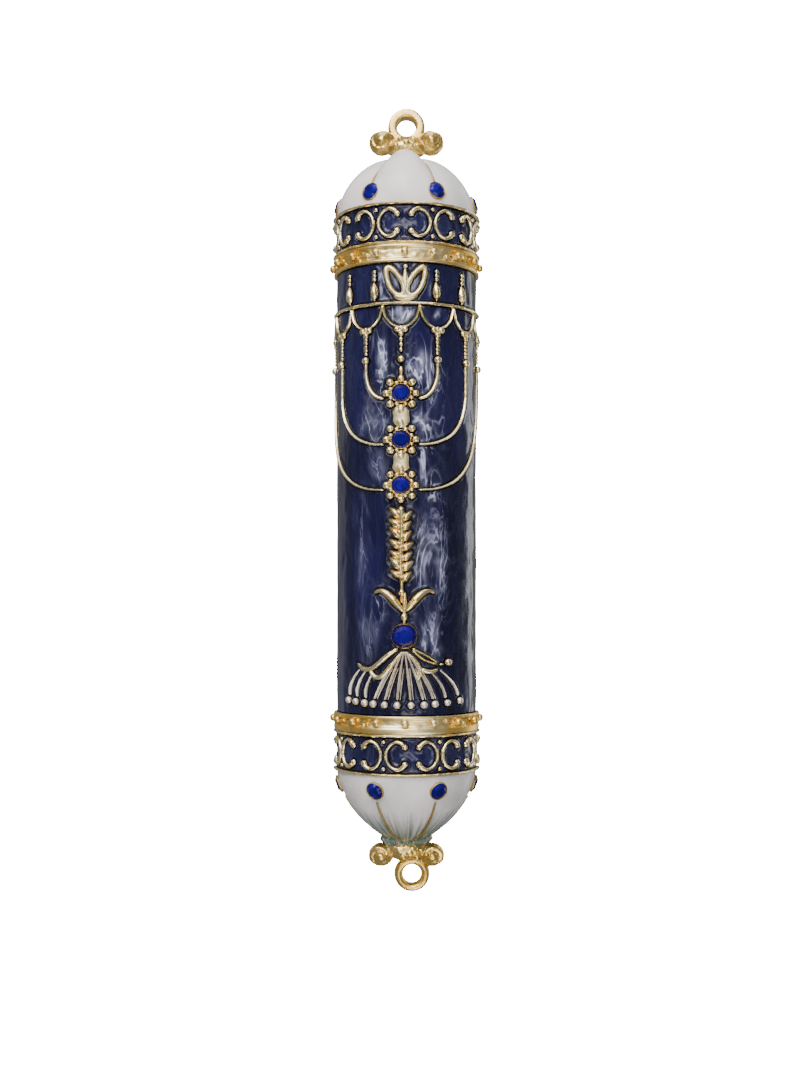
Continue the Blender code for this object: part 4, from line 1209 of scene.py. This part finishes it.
def neck():
    # the flange under the bottom dome, where enamel ran down between the volutes
    pole = boxOf("bottom_dome")[0].z
    outline = ((1.7, 3.3), (1.3, 4.1), (0.6, 4.3), (0.0, 3.9), (-0.8, 2.9), (-1.6, 2.0), (-2.3, 1.2),
               (-2.7, 0.4))
    count = 72
    points = []
    for rise, radius in outline:
        for i in range(count):
            turn = 2 * pi * i / count
            ripple = 1 + 0.12 * noiseAt(cos(turn) * 2.2, sin(turn) * 2.2, rise * 0.8)
            reach = radius * ripple
            points.append((reach * sin(turn), axisY - 0.2 - reach * 0.62 * cos(turn),
                           pole + rise + 0.12 * noiseAt(turn * 2, 3, rise)))
    faces = ringFaces(count, len(outline))
    faces.append(tuple(range(count)))
    faces.append(tuple(range((len(outline) - 1) * count, len(outline) * count)))
    return cleaned(meshObject("neck", points, faces))


def dome(side):
    point, creases, up, lobe = domeShape(side)
    columns, rows = 200, 56
    points, creaseShade = [], []
    for j in range(rows):
        for i in range(columns):
            angle = -pi + 2 * pi * i / columns
            rise = j / rows
            points.append(point(angle, rise)[0])
            # how much painted shade lies here: most at a crease, none at the dome's foot
            creaseShade.append(max(0.0, 1 - lobe(angle) * 4) * min(1, rise * 2.2))
    points.append(point(0, 1)[0])
    creaseShade.append(0)
    faces = ringFaces(columns, rows)
    tip = rows * columns
    faces += [((rows - 1) * columns + i, (rows - 1) * columns + (i + 1) % columns, tip)
              for i in range(columns)]
    obj = meshObject(f"{side}Dome", points, faces)
    setField(obj, "creaseShade", creaseShade)
    with editing(obj):
        bpy.ops.mesh.normals_make_consistent(inside=False)
        bpy.ops.mesh.bisect(plane_co=(0, 0, 0), plane_no=(0, 1, 0), use_fill=False, clear_outer=True)
        bpy.ops.mesh.remove_doubles(threshold=0.002)
    cleaned(modify(obj, "SOLIDIFY", thickness=wall, offset=-1))
    if side == "bottom":
        obj = joined([obj, neck()], "bottomDome")
    finishPiece(cutBack(obj), f"{side}Dome", f"{side}Dome", [f"{side}_dome"], angle=50)


domeWireSet = {"radius": 0.25, "stone": 1.40}


def domeTrim(side):
    point, creases, up, lobe = domeShape(side)
    s = domeWireSet
    pieces = []
    for n in range(1, 5):
        node = f"{side}_dome_wires_stone_{n}"
        spot = middleOf(node)
        angle = atan2(spot.x, axisY - spot.y)
        # the rise at which the dome passes the stone
        rise = min((k / 200 for k in range(60)), key=lambda r: abs(point(angle, r)[0].z - spot.z))
        foot, slope = point(angle, rise, 0.12)
        lean = atan2(slope.y, slope.x) * up
        place = (Matrix.Translation(foot) @ Matrix.Rotation(angle, 4, "Z")
                 @ Matrix.Rotation(-lean, 4, "X"))
        stonePiece(place @ Matrix.Translation((0, -0.30, 0))
                   @ Matrix.Diagonal((s["stone"], 0.9, s["stone"], 1)), f"{side}DomeStone{n}", node)
        rim = flatRing(0, 0, s["stone"] + 0.02, 0.20, 0.22)
        rim.data.transform(place)
        pieces.append(rim)
        path = []
        for k in range(40):
            part = rise + 0.115 + (0.90 - rise - 0.115) * k / 39
            sway = 0.012 * sin(part * 9 + n)
            path.append(point(angle + sway, part, 0.03)[0])
        radii = [s["radius"] * (0.85 + 0.4 * (k / 39)) * (1 + 0.12 * noiseAt(k * 0.4, n, 2))
                 for k in range(len(path))]
        pieces.append(curveMesh(path, radii, sides=2))
    whole = cutBack(joined(pieces, f"{side}DomeWires"))
    finishPiece(whole, f"{side}DomeWires", "domeWire", [f"{side}_dome_wires"], angle=60)


for side in ("top", "bottom"):
    dome(side)
    domeTrim(side)
print("domes made")


# hanging lugs

lugSet = {
    "top": {"ring": 3.02, "hole": 1.52, "deep": 2.5, "square": 5.0, "ball": 2.10, "spread": 4.0},
    "bottom": {"ring": 2.92, "hole": 1.50, "deep": 2.5, "square": 2.3, "ball": 2.05, "spread": 4.15},
}


def lug(side):
    low, high = boxOf(f"{side}_lug")
    s = lugSet[side]
    up = 1 if side == "top" else -1
    poleLow, poleHigh = boxOf(f"{side}_dome")
    pole = poleHigh.z if up > 0 else poleLow.z
    end = high.z if up > 0 else low.z
    ringX = 0.0 if up > 0 else 0.9
    ringZ = end - up * s["ring"]
    # the ring: a torus, squared off in section
    nothing()
    across = (s["ring"] - s["hole"]) / 2
    bpy.ops.mesh.primitive_torus_add(major_segments=72, minor_segments=28, rotation=(pi / 2, 0, 0),
                                     major_radius=s["ring"] - across, minor_radius=across)
    ring = settle(added())
    points = coordsOf(ring)
    for point in points:
        radius = hypot(point[0], point[2])
        out, forward = (radius - (s["ring"] - across)) / across, point[1] / across
        size = max(hypot(out, forward), 1e-6)
        grow = abs(out / size) ** s["square"] + abs(forward / size) ** s["square"]
        grow = grow ** (-1 / s["square"])
        out, forward = out / size * grow, forward / size * grow
        newRadius = s["ring"] - across + out * across
        point[0] *= newRadius / radius
        point[2] *= newRadius / radius
        point[1] = forward * s["deep"] / 2
    setCoords(ring, points + np.array([ringX, -s["deep"] / 2, ringZ]))
    pieces = [ring]
    for hand in (-1, 1):
        # a volute: a ball with a curled groove pressed in its front
        ball = sphere(64, 48, pi / 2)
        points = coordsOf(ball)
        for point in points:
            far, turn = hypot(point[0], point[2]), atan2(point[2] * up, point[0] * hand)
            curl = 0.30 + 0.15 * ((turn + pi * 0.9) % (2 * pi))
            groove = 0.30 * exp(-((far - curl) / 0.12) ** 2) if point[1] < 0.2 else 0
            hollow = 0.16 * exp(-((far - 0.1) / 0.22) ** 2)
            point *= 1 - groove * (0.6 if up > 0 else 1.0) + hollow
        points *= np.array([s["ball"], s["ball"] * 0.95, s["ball"] * 1.0])
        setCoords(ball, points + np.array([hand * s["spread"], axisY - 0.6, pole + up * 2.05]))
        pieces.append(ball)
        # it rolls in from the foot
        path = smoothPath([(hand * x, axisY - y, pole + up * z) for x, y, z in
                           ((0.8, 0.7, 2.3), (2.2, 0.9, 1.7), (3.3, 1.0, 0.75), (4.5, 0.8, 0.7))])
        pieces.append(curveMesh(path, [0.75 * (1 - 0.25 * k / len(path)) for k in range(len(path))]))
    # the granular foot between the volutes
    foot = sphere(72, 48)
    points = coordsOf(foot)
    for point in points:
        grain = 1 + 0.05 * noise.noise(Vector(point) * 7) + 0.03 * noise.noise(Vector(point) * 15)
        point *= grain
        point[0] = point[0] * 3.3
        point[1] = point[1] * 2.1 + axisY - 0.9
        point[2] = (point[2] * 1.8 + 1.0) * up + pole
    setCoords(foot, points)
    pieces.append(foot)
    for x, drop, size in ((0.0, 1.75, 0.62), (-1.05, 2.35, 0.5), (1.1, 2.3, 0.5), (-1.7, 1.3, 0.45),
                          (1.75, 1.25, 0.45)):
        place = Matrix.Translation((x + ringX * 0.6, axisY - 2.6, pole + up * (drop - 0.3)))
        pieces.append(copyOf(beadModel, place @ Matrix.Scale(size, 4)))
    whole = joined([cleaned(p) for p in pieces], f"{side}Lug")
    # melted into one casting
    modify(whole, "REMESH", mode="VOXEL", voxel_size=0.11)
    modify(whole, "SMOOTH", factor=0.5, iterations=2)
    points = coordsOf(whole)
    for point in points:
        spot = Vector(point)
        near = hypot(spot.x - ringX, spot.z - ringZ) < s["ring"] + 0.1
        ripple = 0.015 if near else 0.05
        point += np.array(noise.noise_vector(spot * 2.4)) * ripple
        point[1] = min(point[1], 0.0)
    setCoords(whole, points)
    finishPiece(whole, f"{side}Lug", "lug", [f"{side}_lug"], angle=80)


for side in ("top", "bottom"):
    lug(side)
print("lugs made")


# the back, the cover and the scroll

def softened(node, name, look, body, width):
    # the CAD shape with its sharp edges eased
    obj = bpy.data.objects.new(name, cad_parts[node].data.copy())
    bpy.context.collection.objects.link(obj)
    obj.data.transform(Matrix.Scale(1 / mm, 4))
    cleaned(obj, 0.002)
    with editing(obj):
        bpy.ops.mesh.dissolve_limited(angle_limit=radians(2))
    modify(obj, "BEVEL", width=width, segments=3, limit_method="ANGLE", angle_limit=radians(35))
    finishPiece(obj, name, look, [node], body=body, angle=35)


softened("back_plate", "backPlate", "plate", "case", 0.10)
softened("back_cover", "backCover", "cover", "cover", 0.12)

scrollLow, scrollHigh = boxOf("parchment_scroll")
scrollSet = {"core": 1.5, "sheet": 0.3, "turns": 2.95, "steps": 64, "rows": 40}


def parchment():
    s = scrollSet
    centre = (scrollLow + scrollHigh) / 2
    outer = (scrollHigh.x - scrollLow.x) / 2
    steps = int(s["turns"] * s["steps"])
    pitch = (outer - s["core"] - s["sheet"]) / s["turns"]
    points = []
    ringSize = 2 * (steps + 1)
    for r in range(s["rows"] + 1):
        part = r / s["rows"]
        ends = max(0.0, abs(part - 0.5) * 2 - 0.9) * 10
        for layer in (0, 1):
            order = range(steps + 1) if layer == 0 else range(steps, -1, -1)
            for i in order:
                turn = 2 * pi * i / s["steps"]
                ripple = 0.06 * noiseAt(i * 0.05, part * 6, 1)
                radius = s["core"] + pitch * turn / (2 * pi) + layer * s["sheet"] + ripple
                radius = min(radius, outer)
                fray = 0.35 * ends * noiseAt(i * 0.11, 0, 5)
                z = scrollLow.z + (scrollHigh.z - scrollLow.z) * part
                z += fray - (0.4 * ends if part > 0.5 else -0.4 * ends)
                points.append((centre.x + radius * cos(turn), centre.y + radius * sin(turn), z))
    faces = ringFaces(ringSize, s["rows"] + 1)
    for r in (0, s["rows"]):
        for i in range(steps):
            a, b = r * ringSize + i, r * ringSize + i + 1
            c, d = r * ringSize + ringSize - 2 - i, r * ringSize + ringSize - 1 - i
            faces.append((a, b, c, d))
    obj = cleaned(meshObject("parchmentScroll", points, faces), 0.0005)
    finishPiece(obj, "parchmentScroll", "parchment", ["parchment_scroll"],
                body="parchment", angle=50)


parchment()
for model in (beadModel, leafModel, stoneModel):
    bpy.data.objects.remove(model)
print("back and scroll made")


# floor, light and camera

lightSet = {
    "world": 0.30, "floor": 30.0,
    "soft": (  # name, place, size across and up, watts
        ("keySoft", (-0.18, -0.52, 0.50), 0.50, 0.40, 7.0),
        ("upperFront", (-0.02, -0.70, 0.235), 0.34, 0.13, 1.1),
        ("lowerFront", (0.03, -0.66, -0.13), 0.30, 0.12, 0.6),
        ("lowSoft", (0.14, -0.45, -0.45), 0.40, 0.40, 2.4),
        ("leftSoft", (-0.46, 0.36, 0.05), 0.20, 0.80, 0.12),
        ("rightSoft", (0.46, 0.36, 0.05), 0.18, 0.80, 1.1),
        ("topSoft", (0.0, -0.05, 0.62), 0.45, 0.45, 1.6),
    ),
}


floorZ = cadBox[0].z - 0.004
reach, back, tall, bend = 3.0, 0.62, 2.4, 0.25     # a floor that bends up into a wall
outline = [(-reach, floorZ), (back - bend, floorZ)]
outline += [(back - bend + bend * sin(radians(a)), floorZ + bend * (1 - cos(radians(a))))
            for a in range(6, 91, 6)]
outline += [(back, floorZ + tall)]
points = [(x, y, z) for y, z in outline for x in (-reach, reach)]
faces = [(2 * i, 2 * i + 1, 2 * i + 3, 2 * i + 2) for i in range(len(outline) - 1)]
floor = meshObject("paleFloor", points, faces)
floorLook = Look("paleFloorLook", Roughness=0.9, Emission_Strength=lightSet["floor"],
                 Emission_Color=colour(1, 1, 1), Base_Color=colour(0.85, 0.85, 0.86))
floor.data.materials.append(floorLook.material)
floor.data.shade_smooth()
# it shows white and leaves the light on the case to the lamps
floor.visible_diffuse = floor.visible_glossy = False

world = bpy.data.worlds.new("softRoom")
world.use_nodes = True
world.node_tree.nodes["Background"].inputs["Color"].default_value = colour(0.95, 0.97, 1.0)
world.node_tree.nodes["Background"].inputs["Strength"].default_value = lightSet["world"]
bpy.context.scene.world = world

for name, place, wide, high, watts in lightSet["soft"]:
    lamp = bpy.data.lights.new(name, "AREA")
    lamp.shape = "RECTANGLE"
    lamp.size, lamp.size_y, lamp.energy = wide, high, watts
    obj = bpy.data.objects.new(name, lamp)
    bpy.context.collection.objects.link(obj)
    obj.location = place
    obj.rotation_euler = (-Vector(place)).to_track_quat("-Z", "Y").to_euler()

cameraData = bpy.data.cameras.new("camera")
cameraData.lens = 46.4
cameraData.shift_y = 0.062
cameraData.clip_start = 0.01
camera = bpy.data.objects.new("camera", cameraData)
camera.location = (-0.00106, -0.2265, -0.01615)
camera.rotation_euler = (pi / 2, 0, 0)
bpy.context.collection.objects.link(camera)
bpy.context.scene.camera = camera
print("light and camera set")
